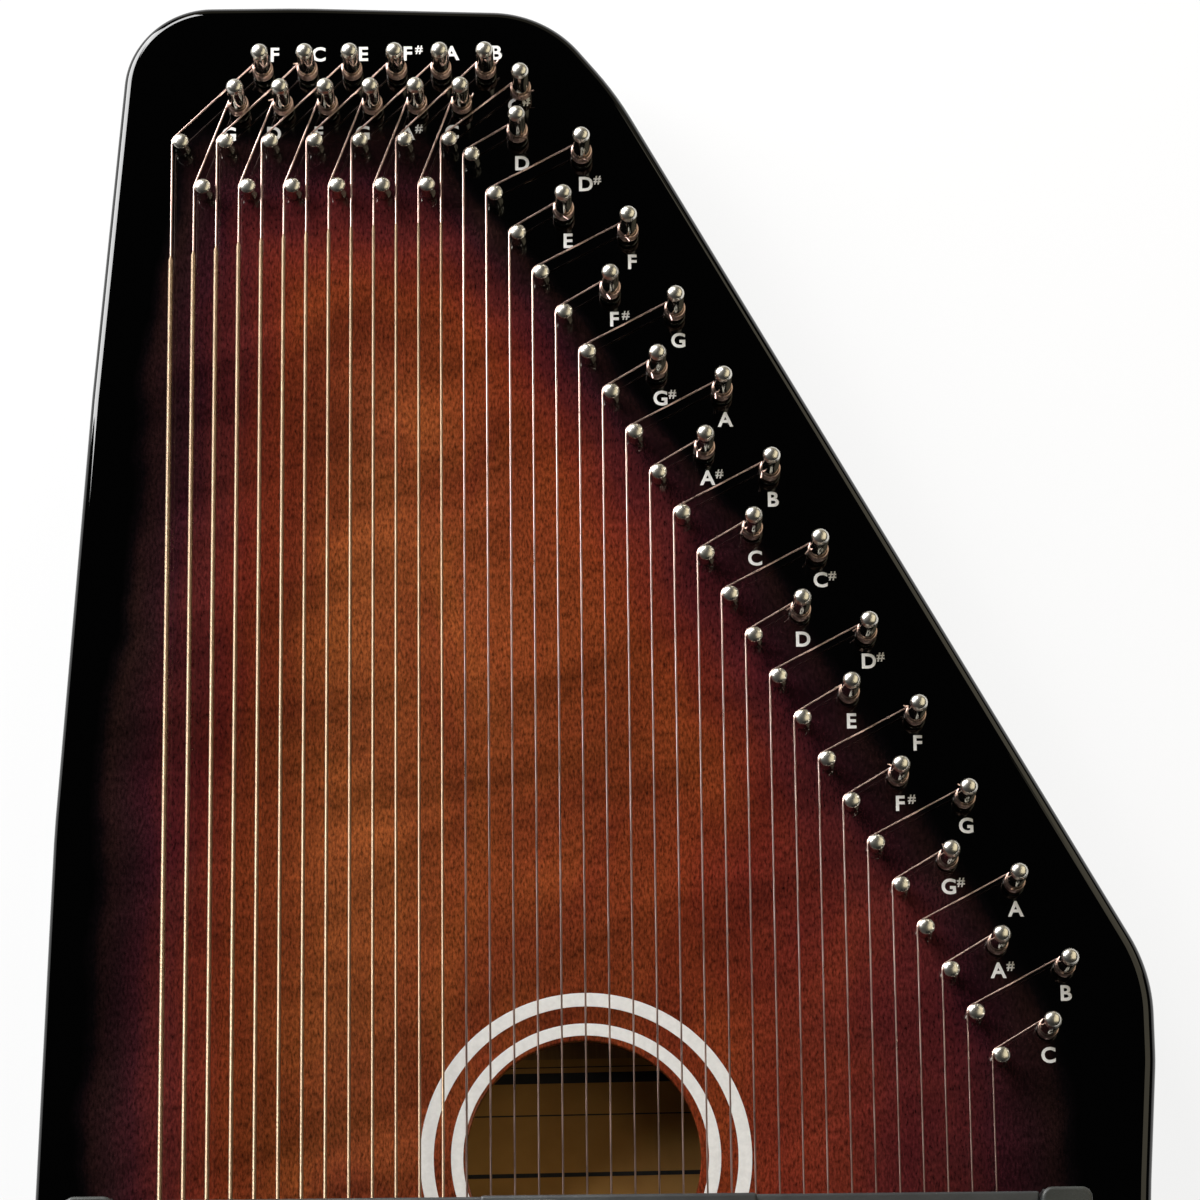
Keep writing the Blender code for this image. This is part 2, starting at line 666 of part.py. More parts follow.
def chord_bar_mesh(column, tools):
    """Chord bar round its own origin: bar, end tongues, felt, plateau and button."""
    bass_inner = holder_span(-1)[0]
    treble_inner = holder_span(1)[0]
    left = bass_inner + BAR_END_GAP
    right = treble_inner - BAR_END_GAP
    half = BAR_WIDTH / 2
    name = f"chord_bar_column_{column + 1}"
    body = box_mesh(name, (left, -half, BAR_BOTTOM), (right, half, BAR_TOP), BAR_EDGE)
    bar = new_object(name, body, tools)
    tongue_left = left - BAR_END_GAP - TONGUE_LENGTH
    tongue_right = right + BAR_END_GAP + TONGUE_LENGTH
    felt_left = string_x(1) - FELT_OVERHANG
    felt_right = string_x(STRING_COUNT) + FELT_OVERHANG
    plateau_left = PLATEAU_X - PLATEAU_LENGTH / 2
    plateau_right = PLATEAU_X + PLATEAU_LENGTH / 2
    button_x = PLATEAU_X + (column - (BUTTON_COLUMNS - 1) / 2) * BUTTON_COLUMN_STEP
    sunk = BAR_HEIGHT / 2
    button_top = BAR_TOP + PLATEAU_HEIGHT + BUTTON_HEIGHT
    extras = {
        "tongues": ((tongue_left, -TONGUE_WIDTH / 2, BAR_BOTTOM + BAR_EDGE),
                    (tongue_right, TONGUE_WIDTH / 2, BAR_TOP - BAR_EDGE), 0.0),
        "felt": ((felt_left, -FELT_WIDTH / 2, FELT_BOTTOM),
                 (felt_right, FELT_WIDTH / 2, BAR_BOTTOM + sunk), 0.0),
        "plateau": ((plateau_left, -half + PLATEAU_SET_BACK, BAR_TOP - sunk),
                    (plateau_right, half - PLATEAU_SET_BACK, BAR_TOP + PLATEAU_HEIGHT),
                    BAR_EDGE),
        "button": ((button_x - BUTTON_LENGTH / 2, -BUTTON_WIDTH / 2, BAR_TOP),
                   (button_x + BUTTON_LENGTH / 2, BUTTON_WIDTH / 2, button_top),
                   BUTTON_EDGE),
    }
    helpers = []
    for label, (low, high, edge) in extras.items():
        helper = new_tool(f"{name}_{label}", box_mesh(label, low, high, edge), tools)
        add_boolean(bar, helper, "UNION")
        helpers.append(helper)
    mesh = evaluated_mesh(bar)
    for helper in helpers:
        bpy.data.objects.remove(helper, do_unlink=True)
    return mesh


def make_chord_bars(parts, tools, black):
    """Chord bars in a row, their buttons stepping through the columns."""
    meshes = [chord_bar_mesh(column, tools) for column in range(BUTTON_COLUMNS)]
    for index in range(BAR_COUNT):
        mesh = meshes[index % BUTTON_COLUMNS]
        bar = new_object(f"chord_bar_{index + 1:02d}", mesh, parts, black)
        bar.location = (0.0, bar_y(index), 0.0)


def make_holder(name, side, parts, tools, black):
    """Comb that guides the tongues of the bars at one side."""
    inner, outer = holder_span(side)
    low = (min(inner, outer), BARS_TAIL_Y, SEAT)
    high = (max(inner, outer), BARS_HEAD_Y, BAR_TOP)
    holder = new_object(name, box_mesh(name, low, high), parts, black)
    past = HOLDER_WIDTH
    slot_inner = inner - side * past
    slot_outer = inner + side * (TONGUE_LENGTH + TONGUE_SIDE_GAP)
    half = TONGUE_WIDTH / 2 + TONGUE_SIDE_GAP
    slot = box_mesh(f"{name}_slot",
                    (min(slot_inner, slot_outer), -half, SEAT + HOLDER_FLOOR),
                    (max(slot_inner, slot_outer), half, BAR_TOP + past))
    places = [Vector((0.0, bar_y(index), 0.0)) for index in range(BAR_COUNT)]
    slots = copies_mesh(f"{name}_slots", slot, places)
    add_boolean(holder, new_tool(f"{name}_slots", slots, tools), "DIFFERENCE")


def make_cover(name, side, parts, black):
    """Cover plate that keeps the tongues in their comb."""
    inner, outer = holder_span(side)
    low_y = BARS_TAIL_Y - COVER_OVERHANG
    high_y = BARS_HEAD_Y + COVER_OVERHANG
    bottom = BAR_TOP + FIT_GAP
    low = (min(inner, outer) - COVER_OVERHANG, low_y, bottom)
    high = (max(inner, outer) + COVER_OVERHANG, high_y, bottom + COVER_THICKNESS)
    new_object(name, box_mesh(name, low, high, COVER_EDGE), parts, black)


def main():
    clear_scene()
    parts = new_collection("Autoharp")
    tools = new_collection("Cutters")
    lacquer = principled("sunburst_lacquer", (0.22, 0.07, 0.025), 0.08)
    back_lacquer = principled("black_lacquer", (0.01, 0.008, 0.008), 0.08)
    maple = principled("frame_maple", (0.55, 0.36, 0.18), 0.6)
    nickel = principled("nickel_steel", (0.78, 0.76, 0.72), 0.15, 1.0)
    string_steel = principled("string_steel", (0.66, 0.62, 0.52), 0.25, 1.0)
    rosewood = principled("bridge_hardwood", (0.05, 0.03, 0.02), 0.35)
    black = principled("black_plastic", (0.03, 0.03, 0.033), 0.45)
    make_back(parts, back_lacquer)
    make_frame(parts, tools, maple)
    make_soundboard(parts, tools, lacquer)
    make_tuning_pins(parts, nickel)
    make_strings(parts, tools, string_steel)
    make_bridge(parts, tools, rosewood)
    make_chord_bars(parts, tools, black)
    make_holder("left_bar_holder", -1, parts, tools, black)
    make_holder("right_bar_holder", 1, parts, tools, black)
    make_cover("left_holder_cover", -1, parts, black)
    make_cover("right_holder_cover", 1, parts, black)


main()
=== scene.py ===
"""Looks of the string harp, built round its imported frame. Metres, in the frame's own axes."""

import math

import bmesh
import bpy
from mathutils import Matrix, Vector
from mathutils.geometry import tessellate_polygon


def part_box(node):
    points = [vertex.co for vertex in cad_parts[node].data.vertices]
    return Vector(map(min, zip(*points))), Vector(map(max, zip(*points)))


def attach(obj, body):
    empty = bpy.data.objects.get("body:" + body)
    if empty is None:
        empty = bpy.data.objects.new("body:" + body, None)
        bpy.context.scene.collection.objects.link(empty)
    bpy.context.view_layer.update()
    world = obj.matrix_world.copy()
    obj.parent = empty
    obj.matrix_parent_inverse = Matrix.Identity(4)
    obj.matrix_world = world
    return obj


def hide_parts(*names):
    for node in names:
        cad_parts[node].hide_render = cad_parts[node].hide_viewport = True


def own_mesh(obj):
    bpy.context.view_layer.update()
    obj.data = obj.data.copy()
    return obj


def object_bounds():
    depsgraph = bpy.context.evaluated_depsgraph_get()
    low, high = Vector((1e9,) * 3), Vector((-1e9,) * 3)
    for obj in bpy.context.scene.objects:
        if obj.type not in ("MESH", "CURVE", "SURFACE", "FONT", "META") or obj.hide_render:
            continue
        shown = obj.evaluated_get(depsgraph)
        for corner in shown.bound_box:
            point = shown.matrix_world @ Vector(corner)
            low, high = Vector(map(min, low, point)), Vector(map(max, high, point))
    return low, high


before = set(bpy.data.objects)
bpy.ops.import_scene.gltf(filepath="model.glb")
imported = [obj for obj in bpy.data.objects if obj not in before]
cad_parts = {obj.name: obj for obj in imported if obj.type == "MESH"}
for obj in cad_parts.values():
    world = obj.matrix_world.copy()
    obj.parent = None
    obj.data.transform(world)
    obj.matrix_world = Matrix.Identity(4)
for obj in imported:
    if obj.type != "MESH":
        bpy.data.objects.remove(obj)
cad_low, cad_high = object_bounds()

# Driving sizes, as in the solids
FIT_GAP = 0.0003
STRING_COUNT = 36
WOUND_COUNT = 13
FIRST_DIAGONAL = 14
LAST_ROW_STRING = 12
CORNER_STRING = 13
BAR_COUNT = 15
GUIDE_RADIUS = 0.0020
GUIDE_HEIGHT = 0.0086
GUIDE_HEAD_RADIUS = 0.0023
GUIDE_HEAD_UNDERSIDE = 0.0073
PIN_RADIUS = 0.0025
PIN_HEIGHT = 0.0220
PIN_BURIED = 0.0190
ROW_FAR_OFFSET = Vector((0.0236, 0.0226))
ROW_NEAR_OFFSET = Vector((0.0100, 0.0258))
CORNER_OFFSET = Vector((0.0208, 0.0160))
DIAGONAL_FAR_OFFSET = Vector((0.0252, 0.0130))
DIAGONAL_NEAR_OFFSET = Vector((0.0132, 0.0076))
PLAIN_RADIUS_BASS = 0.00030
PLAIN_RADIUS_TREBLE = 0.00020
WOUND_RADIUS_BASS = 0.00075
WOUND_RADIUS_TREBLE = 0.00040
CORE_RADIUS = 0.00027
WINDING_STOPS_BELOW_FIRST_ROW = 0.0252
WINDING_STOPS_LOWER_IN_BASS = 0.0096
STRING_LIFT = 0.0056
HOLE_RADIUS = 0.0326
HOLE_X = -0.0026
HOLE_ABOVE_BARS = 0.01296
SIDE_RAIL_WIDTH = 0.018
BLOCK_BELOW_GUIDES = 0.012
BUTTON_LENGTH = 0.021
BUTTON_WIDTH = 0.0064
BUTTON_COLUMN_STEP = 0.0255
BUTTON_COLUMNS = 3
PLATEAU_LENGTH = 0.075
PLATEAU_X = 0.0068
PLATEAU_HEIGHT = 0.005
PLATEAU_SET_BACK = 0.0002
TONGUE_WIDTH = 0.008
TONGUE_LENGTH = 0.0095

# Levels and places read from the frame
board_low, board_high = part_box("soundboard")
back_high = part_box("back_board")[1]
bridge_low, bridge_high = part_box("bridge")
SIDE_X = board_high.x
HEAD_Y = board_high.y
TAIL_Y = board_low.y
BOARD_BOTTOM = board_low.z
BACK_TOP = back_high.z
BRIDGE_Y = (bridge_low.y + bridge_high.y) / 2
BRIDGE_WIDTH = 0.012
BOARD_TOP = 0.0350
SEAT = BOARD_TOP + FIT_GAP
STRING_UNDERSIDE = BOARD_TOP + STRING_LIFT
CAMERA_PLACE = Vector((0.0002, -0.21395, 1.3352))
CAMERA_AIM = Vector((0.0036, 0.11025, 0.0350))
CAMERA_LENS = 140.7

# Names of the notes, from the bass string up
NOTE_NAMES = (
    "F G C D E F F# G A A# B C C# D D# E F F# G G# A A# B C C# D D# E F F# G G# A A# B C"
).split()


def pin_centre(number):
    """Axis of a tuning pin on the soundboard."""
    low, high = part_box(f"tuning_pin_{number:02d}")
    return Vector(((low.x + high.x) / 2, (low.y + high.y) / 2))


def pin_offset(number):
    """Step from a guide pin to its tuning pin."""
    odd = number % 2 == 1
    if number == CORNER_STRING:
        return CORNER_OFFSET
    if number <= LAST_ROW_STRING:
        return ROW_FAR_OFFSET if odd else ROW_NEAR_OFFSET
    return DIAGONAL_FAR_OFFSET if odd else DIAGONAL_NEAR_OFFSET


def guide_centre(number):
    """Axis of a guide pin."""
    return pin_centre(number) - pin_offset(number)


def end_radius(number):
    """Radius of a string where it turns round its guide pin."""
    if number <= WOUND_COUNT:
        return CORE_RADIUS
    share = (number - WOUND_COUNT - 1) / (STRING_COUNT - WOUND_COUNT - 1)
    return PLAIN_RADIUS_BASS + share * (PLAIN_RADIUS_TREBLE - PLAIN_RADIUS_BASS)


def main_radius(number):
    """Radius of a string along its speaking length."""
    if number > WOUND_COUNT:
        return end_radius(number)
    share = (number - 1) / (WOUND_COUNT - 1)
    return WOUND_RADIUS_BASS + share * (WOUND_RADIUS_TREBLE - WOUND_RADIUS_BASS)


def string_x(number):
    """Middle of a string: it runs past its guide pin on the bass side."""
    return guide_centre(number).x - GUIDE_RADIUS - FIT_GAP - end_radius(number)


# Node building

NOISE_LOW = 0.3
NOISE_HIGH = 0.7


class Tree:
    """Adds linked nodes to a material's tree."""

    def __init__(self, name):
        self.material = bpy.data.materials.new(name)
        self.material.use_nodes = True
        self.nodes = self.material.node_tree.nodes
        self.links = self.material.node_tree.links
        self.shader = self.nodes["Principled BSDF"]

    def put(self, socket, value):
        """Link a socket to another, or set its own value."""
        if isinstance(value, bpy.types.NodeSocket):
            self.links.new(value, socket)
        else:
            socket.default_value = value

    def place(self):
        """Object coordinates, which are metres in the frame."""
        return self.nodes.new("ShaderNodeTexCoord").outputs["Object"]

    def axes(self, vector):
        split = self.nodes.new("ShaderNodeSeparateXYZ")
        self.put(split.inputs[0], vector)
        return split.outputs

    def math(self, operation, first, second=0.0, third=0.0):
        node = self.nodes.new("ShaderNodeMath")
        node.operation = operation
        for socket, value in zip(node.inputs, (first, second, third)):
            self.put(socket, value)
        return node.outputs[0]

    def stretched(self, vector, scale):
        node = self.nodes.new("ShaderNodeVectorMath")
        node.operation = "MULTIPLY"
        self.put(node.inputs[0], vector)
        node.inputs[1].default_value = scale
        return node.outputs[0]

    def turned(self, vector, angle):
        """Vector turned round Z."""
        node = self.nodes.new("ShaderNodeVectorRotate")
        node.rotation_type = "Z_AXIS"
        self.put(node.inputs["Vector"], vector)
        node.inputs["Angle"].default_value = angle
        return node.outputs[0]

    def noise(self, vector, scale=1.0, detail=2.0, roughness=0.5, distortion=0.0):
        node = self.nodes.new("ShaderNodeTexNoise")
        self.put(node.inputs["Vector"], vector)
        node.inputs["Scale"].default_value = scale
        node.inputs["Detail"].default_value = detail
        node.inputs["Roughness"].default_value = roughness
        node.inputs["Distortion"].default_value = distortion
        return node.outputs["Fac"]

    def remap(self, value, old_low, old_high, new_low, new_high):
        node = self.nodes.new("ShaderNodeMapRange")
        for socket, number in zip(node.inputs, (value, old_low, old_high, new_low, new_high)):
            self.put(socket, number)
        return node.outputs[0]

    def plus(self, first, second):
        return self.math("ADD", first, second)

    def times(self, first, second):
        return self.math("MULTIPLY", first, second)

    def gain(self, noise, low, high):
        """Noise spread between two values."""
        return self.remap(noise, NOISE_LOW, NOISE_HIGH, low, high)

    def tone(self, noise, dark, light):
        """Noise spread between two colours."""
        return self.ramp(noise, [(NOISE_LOW, dark), (NOISE_HIGH, light)])

    def ramp(self, value, stops):
        """Colour ramp from (position, colour) stops."""
        node = self.nodes.new("ShaderNodeValToRGB")
        self.put(node.inputs[0], value)
        elements = node.color_ramp.elements
        while len(elements) < len(stops):
            elements.new(1.0)
        for element, (position, colour) in zip(elements, stops):
            element.position = position
            element.color = (*linear(colour), 1.0)
        return node.outputs["Color"]

    def mix(self, factor, first, second, blend="MIX"):
        node = self.nodes.new("ShaderNodeMix")
        node.data_type = "RGBA"
        node.blend_type = blend
        self.put(node.inputs["Factor"], factor)
        self.put(node.inputs["A"], first)
        self.put(node.inputs["B"], second)
        return node.outputs["Result"]

    def bump(self, height, strength, distance=0.001):
        node = self.nodes.new("ShaderNodeBump")
        node.inputs["Strength"].default_value = strength
        node.inputs["Distance"].default_value = distance
        self.put(node.inputs["Height"], height)
        return node.outputs["Normal"]

    def set(self, **values):
        """Set or link the shader's sockets by name, with _ for a space."""
        for name, value in values.items():
            self.put(self.shader.inputs[name.replace("_", " ")], value)


def linear(code):
    """Linear colour of a six-digit display colour."""
    parts = [int(code[start:start + 2], 16) / 255 for start in (0, 2, 4)]
    return tuple(part / 12.92 if part <= 0.04045 else ((part + 0.055) / 1.055) ** 2.4 for part in parts)


# Mesh building

SUPPORT = 0.0003
RIM_CHAMFER = 0.3
CORNER_SHARE = 0.48
FINE_ARC = math.radians(2.5)
COARSE_ARC = math.radians(15)
NEARLY_UPRIGHT = 0.98


def linked(name, data):
    """New object in the scene."""
    obj = bpy.data.objects.new(name, data)
    bpy.context.scene.collection.objects.link(obj)
    return obj


def link_piece(name, mesh, material, body, slot, *replaced, sharp=35):
    """Object for a finished mesh, shaded smooth up to sharp edges, riding on a body."""
    piece = linked(name, mesh)
    mesh.materials.clear()
    mesh.materials.append(material)
    mesh.shade_smooth()
    mesh.set_sharp_from_angle(angle=math.radians(sharp))
    if replaced:
        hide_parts(*replaced)
    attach(piece, body)
    return piece


def mesh_from(work, name):
    """Mesh with its faces turned outward, which ends the bmesh."""
    bmesh.ops.recalc_face_normals(work, faces=work.faces)
    mesh = bpy.data.meshes.new(name)
    work.to_mesh(mesh)
    work.free()
    return mesh


def body_piece(name, work, material, slot, *replaced):
    """Object for a finished bmesh, riding on the body of the harp."""
    return link_piece(name, mesh_from(work, name), material, "harp_body", slot, *replaced)


def add_ring(work, points, level):
    return [work.verts.new((x, y, level)) for x, y in points]


def bridge_rings(work, first, second):
    """Quads between two closed rings of as many points."""
    count = len(first)
    for index in range(count):
        after = (index + 1) % count
        work.faces.new((first[index], first[after], second[after], second[index]))


def join_rings(work, rings):
    """Quads along a row of rings."""
    for first, second in zip(rings, rings[1:]):
        bridge_rings(work, first, second)


def stack_rings(work, rings):
    """Closed solid along a row of rings."""
    join_rings(work, rings)
    work.faces.new(rings[0][::-1])
    work.faces.new(rings[-1])


def fill_rings(work, rings):
    """Flat faces between an outer ring and the rings of its holes."""
    flat = [vert for ring in rings for vert in ring]
    loops = [[vert.co.copy() for vert in ring] for ring in rings]
    for triangle in tessellate_polygon(loops):
        work.faces.new([flat[index] for index in triangle])


def circle_points(x, y, radius, sides):
    angles = [math.tau * step / sides for step in range(sides)]
    return [(x + radius * math.cos(angle), y + radius * math.sin(angle)) for angle in angles]


def rounded_outline(corners, arc_step=FINE_ARC):
    """Closed outline whose corners (x, y, radius) are rounded by arcs."""
    points = []
    for index, (x, y, radius) in enumerate(corners):
        here = Vector((x, y))
        before = Vector(corners[index - 1][:2])
        after = Vector(corners[(index + 1) % len(corners)][:2])
        into = (here - before).normalized()
        out = (after - here).normalized()
        turn = math.atan2(into.x * out.y - into.y * out.x, into.dot(out))
        room = CORNER_SHARE * min((here - before).length, (after - here).length)
        reach = min(radius * math.tan(abs(turn) / 2), room)
        arc_radius = math.copysign(reach / math.tan(abs(turn) / 2), turn)
        start = here - into * reach
        centre = start + Vector((-into.y, into.x)) * arc_radius
        steps = max(1, math.ceil(abs(turn) / arc_step))
        for step in range(steps + 1):
            arm = start - centre
            arm.rotate(Matrix.Rotation(turn * step / steps, 2))
            points.append(tuple(centre + arm))
    return points


def inset_outline(points, inset):
    """Anticlockwise outline moved inward by a distance."""
    moved = []
    for index, point in enumerate(points):
        here = Vector(point)
        into = (here - Vector(points[index - 1])).normalized()
        out = (Vector(points[(index + 1) % len(points)]) - here).normalized()
        middle = (into + out).normalized()
        inward = Vector((-middle.y, middle.x))
        moved.append(tuple(here + inward * inset / max(middle.dot(into), 0.5)))
    return moved


def arc_profile(radius, level, direction, steps=6):
    """(inset, height) points of a rounded rim that ends at a level, from its wall inward."""
    return [
        (radius - radius * math.cos(math.pi / 2 * step / steps),
         level - direction * (radius - radius * math.sin(math.pi / 2 * step / steps)))
        for step in range(steps + 1)
    ]


def slab_mesh(name, outline, low, high, low_round=0.0, high_round=0.0, holes=(), steps=6):
    """Closed plate with rounded rims. A hole is (x, y, radius, rim, sides, floor or None)."""
    work = bmesh.new()
    profile = [(0.0, low)]
    if low_round:
        profile = arc_profile(low_round, low, -1, steps)[::-1]
        profile.insert(0, (low_round + SUPPORT, low))
    if high_round:
        profile += arc_profile(high_round, high, 1, steps)
        profile.append((high_round + SUPPORT, high))
    else:
        profile.append((0.0, high))
    rings = [add_ring(work, inset_outline(outline, inset), level) for inset, level in profile]
    join_rings(work, rings)
    bottom_rings = [rings[0]]
    top_rings = [rings[-1]]
    for x, y, radius, rim, sides, floor in holes:
        chamfer = rim * RIM_CHAMFER
        levels = [(radius + rim + SUPPORT, high), (radius + rim, high), (radius + chamfer, high - chamfer),
                  (radius, high - rim), (radius, low if floor is None else floor)]
        walls = [add_ring(work, circle_points(x, y, size, sides), level) for size, level in levels]
        join_rings(work, walls)
        top_rings.append(walls[0])
        if floor is None:
            bottom_rings.append(walls[-1])
        else:
            work.faces.new(walls[-1])
    fill_rings(work, top_rings)
    fill_rings(work, bottom_rings)
    return mesh_from(work, name)


def turn_profile(work, profile, sides):
    """Solid turned round Z from a profile of (radius, height), from its top down."""
    rings = []
    for radius, height in profile:
        if radius == 0.0:
            rings.append([work.verts.new((0.0, 0.0, height))])
        else:
            rings.append(add_ring(work, circle_points(0.0, 0.0, radius, sides), height))
    for first, second in zip(rings, rings[1:]):
        for index in range(sides):
            after = (index + 1) % sides
            corners = [first[index % len(first)], first[after % len(first)],
                       second[after % len(second)], second[index % len(second)]]
            work.faces.new(list(dict.fromkeys(corners)))


def turned_mesh(name, profile, sides):
    work = bmesh.new()
    turn_profile(work, profile, sides)
    return mesh_from(work, name)


def tube(work, points, radii, sides=8):
    """Tube with closed ends along a line of points."""
    up = Vector((0.0, 0.0, 1.0))
    rings = []
    for index, (point, radius) in enumerate(zip(points, radii)):
        before = points[max(index - 1, 0)]
        after = points[min(index + 1, len(points) - 1)]
        along = (after - before).normalized()
        if abs(along.z) > NEARLY_UPRIGHT:
            up = Vector((1.0, 0.0, 0.0))
        side = along.cross(up).normalized()
        lift = side.cross(along)
        rings.append([
            work.verts.new(point + radius * (side * math.cos(math.tau * step / sides)
                                             + lift * math.sin(math.tau * step / sides)))
            for step in range(sides)
        ])
    stack_rings(work, rings)


def rounded_box(work, low, high, edge, segments=3):
    """Box with rounded edges, added to a bmesh."""
    low, high = Vector(low), Vector(high)
    made = bmesh.ops.create_cube(work, size=1.0)["verts"]
    bmesh.ops.scale(work, vec=high - low, verts=made)
    bmesh.ops.translate(work, vec=(low + high) / 2, verts=made)
    if edge > 0:
        edges = list({link for vert in made for link in vert.link_edges})
        bmesh.ops.bevel(work, geom=edges, offset=edge, segments=segments, profile=0.5, affect="EDGES")


def rectangle(low_x, low_y, high_x, high_y, radius):
    """Corners of a rounded rectangle, anticlockwise."""
    return [(x, y, radius) for x, y in ((low_x, low_y), (high_x, low_y), (high_x, high_y), (low_x, high_y))]


# Materials

GRAIN_STRETCH = (1500.0, 600.0, 600.0)
PORE_STRETCH = (2600.0, 700.0, 700.0)
FLAME_STRETCH = (14.0, 45.0, 14.0)
FLAME_SLANT = math.radians(17.7)
MOTTLE_STRETCH = (24.0, 13.0, 13.0)
BURST_START = -0.0115
BURST_WIDTH = 0.0815
BURST_GAIN = 1.12
BURST_LEFT_REACH = 0.1316
BURST_LEFT_SLOPE = -0.0529
BURST_LEFT_BEND = -0.1646
BURST_NECK = (-1.2, -0.9, 0.1640)
BURST_TOP_Y = 0.2409
BURST_TAIL_BELOW_MIDDLE = 0.272
BURST_RIM_X = 0.1195
BURST_RIGHT_X = 0.1365
BURST_ABOVE_GUIDES = 0.0070
BURST_BLEND = 0.008
BURST_CLOUD = 0.016
BURST_STOPS = (
    (0.0, "000000"), (0.03, "060304"), (0.07, "1a0c0c"), (0.13, "1f0d10"), (0.20, "2c0f15"),
    (0.27, "401517"), (0.34, "4c1a19"), (0.39, "591f18"), (0.45, "642518"), (0.52, "6c2c17"),
    (0.62, "6c2f18"), (0.72, "77381c"), (0.80, "7f3f20"), (1.0, "864626"),
)
COOL_HUE = (0.80, 0.66, 0.86, 1.0)
WARM_HUE = (1.16, 1.30, 1.10, 1.0)


def wood_figure(tree, place):
    """Brightness of the figured top veneer: fine grain, pores and cloudy slanted flame."""
    grain = tree.noise(tree.stretched(place, GRAIN_STRETCH), detail=3.0, roughness=0.6)
    pores = tree.noise(tree.stretched(place, PORE_STRETCH), detail=2.0)
    slanted = tree.turned(place, -FLAME_SLANT)
    flame = tree.noise(tree.stretched(slanted, FLAME_STRETCH), detail=4.0, roughness=0.6, distortion=0.8)
    pore_gain = tree.remap(pores, 0.32, 0.46, 0.62, 1.0)
    return tree.times(tree.times(tree.gain(grain, 0.34, 1.66), pore_gain), tree.gain(flame, 0.62, 1.38))


def sunburst_distance(tree, place):
    """Distance inward from the line where the black rim ends, with a fade for each of its sides."""
    x, y, _ = tree.axes(place)
    left = tree.plus(tree.times(y, BURST_LEFT_SLOPE), tree.plus(x, BURST_LEFT_REACH))
    left = tree.plus(left, tree.times(tree.times(y, y), BURST_LEFT_BEND))
    neck_x, neck_y, neck_reach = BURST_NECK
    neck = tree.plus(tree.plus(tree.times(x, neck_x), tree.times(y, neck_y)), neck_reach)
    top = tree.times(tree.math("SUBTRACT", BURST_TOP_Y, y), 0.80)
    first = guide_centre(FIRST_DIAGONAL)
    along = (guide_centre(STRING_COUNT) - first).normalized()
    inward = Vector((along.y, -along.x))
    start = first.dot(inward) - BURST_ABOVE_GUIDES
    slanted = tree.plus(tree.times(x, inward.x), tree.times(y, inward.y))
    slanted = tree.times(tree.math("SUBTRACT", slanted, start), 0.94)
    right_rim = tree.times(tree.math("SUBTRACT", BURST_RIM_X, x), 0.82)
    right = tree.times(tree.math("SUBTRACT", BURST_RIGHT_X, x), 0.29)
    tail = tree.times(tree.plus(y, BURST_TAIL_BELOW_MIDDLE), 0.80)
    nearest = left
    for other in (top, neck, slanted, right_rim, right, tail):
        nearest = tree.math("SMOOTH_MIN", nearest, other, BURST_BLEND)
    cloud = tree.noise(place, scale=24.0, detail=3.0, roughness=0.55)
    return tree.plus(nearest, tree.times(tree.math("SUBTRACT", cloud, 0.5), BURST_CLOUD))


def lacquer_material():
    """High-gloss sunburst over figured wood: black rim, dark red band, red-brown middle."""
    tree = Tree("sunburst_lacquer")
    place = tree.place()
    share = tree.remap(sunburst_distance(tree, place), BURST_START, BURST_START + BURST_WIDTH, 0.0, 1.0)
    burst = tree.ramp(share, BURST_STOPS)
    mottle = tree.noise(tree.stretched(place, MOTTLE_STRETCH), detail=3.0, distortion=1.2)
    hue_gain = tree.mix(tree.gain(mottle, 0.0, 1.0), COOL_HUE, WARM_HUE)
    wood = tree.mix(1.0, burst, hue_gain, "MULTIPLY")
    figure = tree.times(wood_figure(tree, place), BURST_GAIN)
    grey = tree.nodes.new("ShaderNodeCombineColor")
    for socket in grey.inputs:
        tree.put(socket, figure)
    wood = tree.mix(1.0, wood, grey.outputs[0], "MULTIPLY")
    tree.set(Base_Color=wood, Roughness=0.6, Specular_IOR_Level=0.0,
             Coat_Weight=1.0, Coat_Roughness=0.02, Coat_IOR=1.5)
    return tree.material


def gloss_black_material(name, tint, roughness):
    """Black lacquer with the faint unevenness of a sprayed coat."""
    tree = Tree(name)
    place = tree.place()
    cloud = tree.noise(place, scale=35.0, detail=3.0)
    peel = tree.noise(place, scale=420.0, detail=1.0)
    tree.set(Base_Color=tree.tone(cloud, "020202", tint), Roughness=roughness, Specular_IOR_Level=0.0,
             Coat_Weight=1.0, Coat_Roughness=0.03, Normal=tree.bump(peel, 0.02, 0.0002))
    return tree.material


def bare_wood_material(name, dark, light):
    """Unfinished inside wood with its grain along Y."""
    tree = Tree(name)
    place = tree.place()
    rings = tree.noise(tree.stretched(place, (180.0, 6.0, 60.0)), detail=4.0, roughness=0.65)
    fine = tree.noise(tree.stretched(place, (1400.0, 90.0, 400.0)), detail=2.0)
    grain = tree.plus(tree.times(rings, 0.7), tree.times(fine, 0.3))
    tree.set(Base_Color=tree.ramp(grain, [(0.35, dark), (0.65, light)]), Roughness=0.75,
             Normal=tree.bump(fine, 0.15, 0.0002))
    return tree.material


NICKEL_FADE = 0.0004
MIRROR_ROUGHNESS = 0.10
HEAD_ROUGHNESS = 0.24
DULL_ALL_OVER = -1.0
PIN_HEAD_HEIGHT = 0.0022
WINDING_PITCH = 0.00034


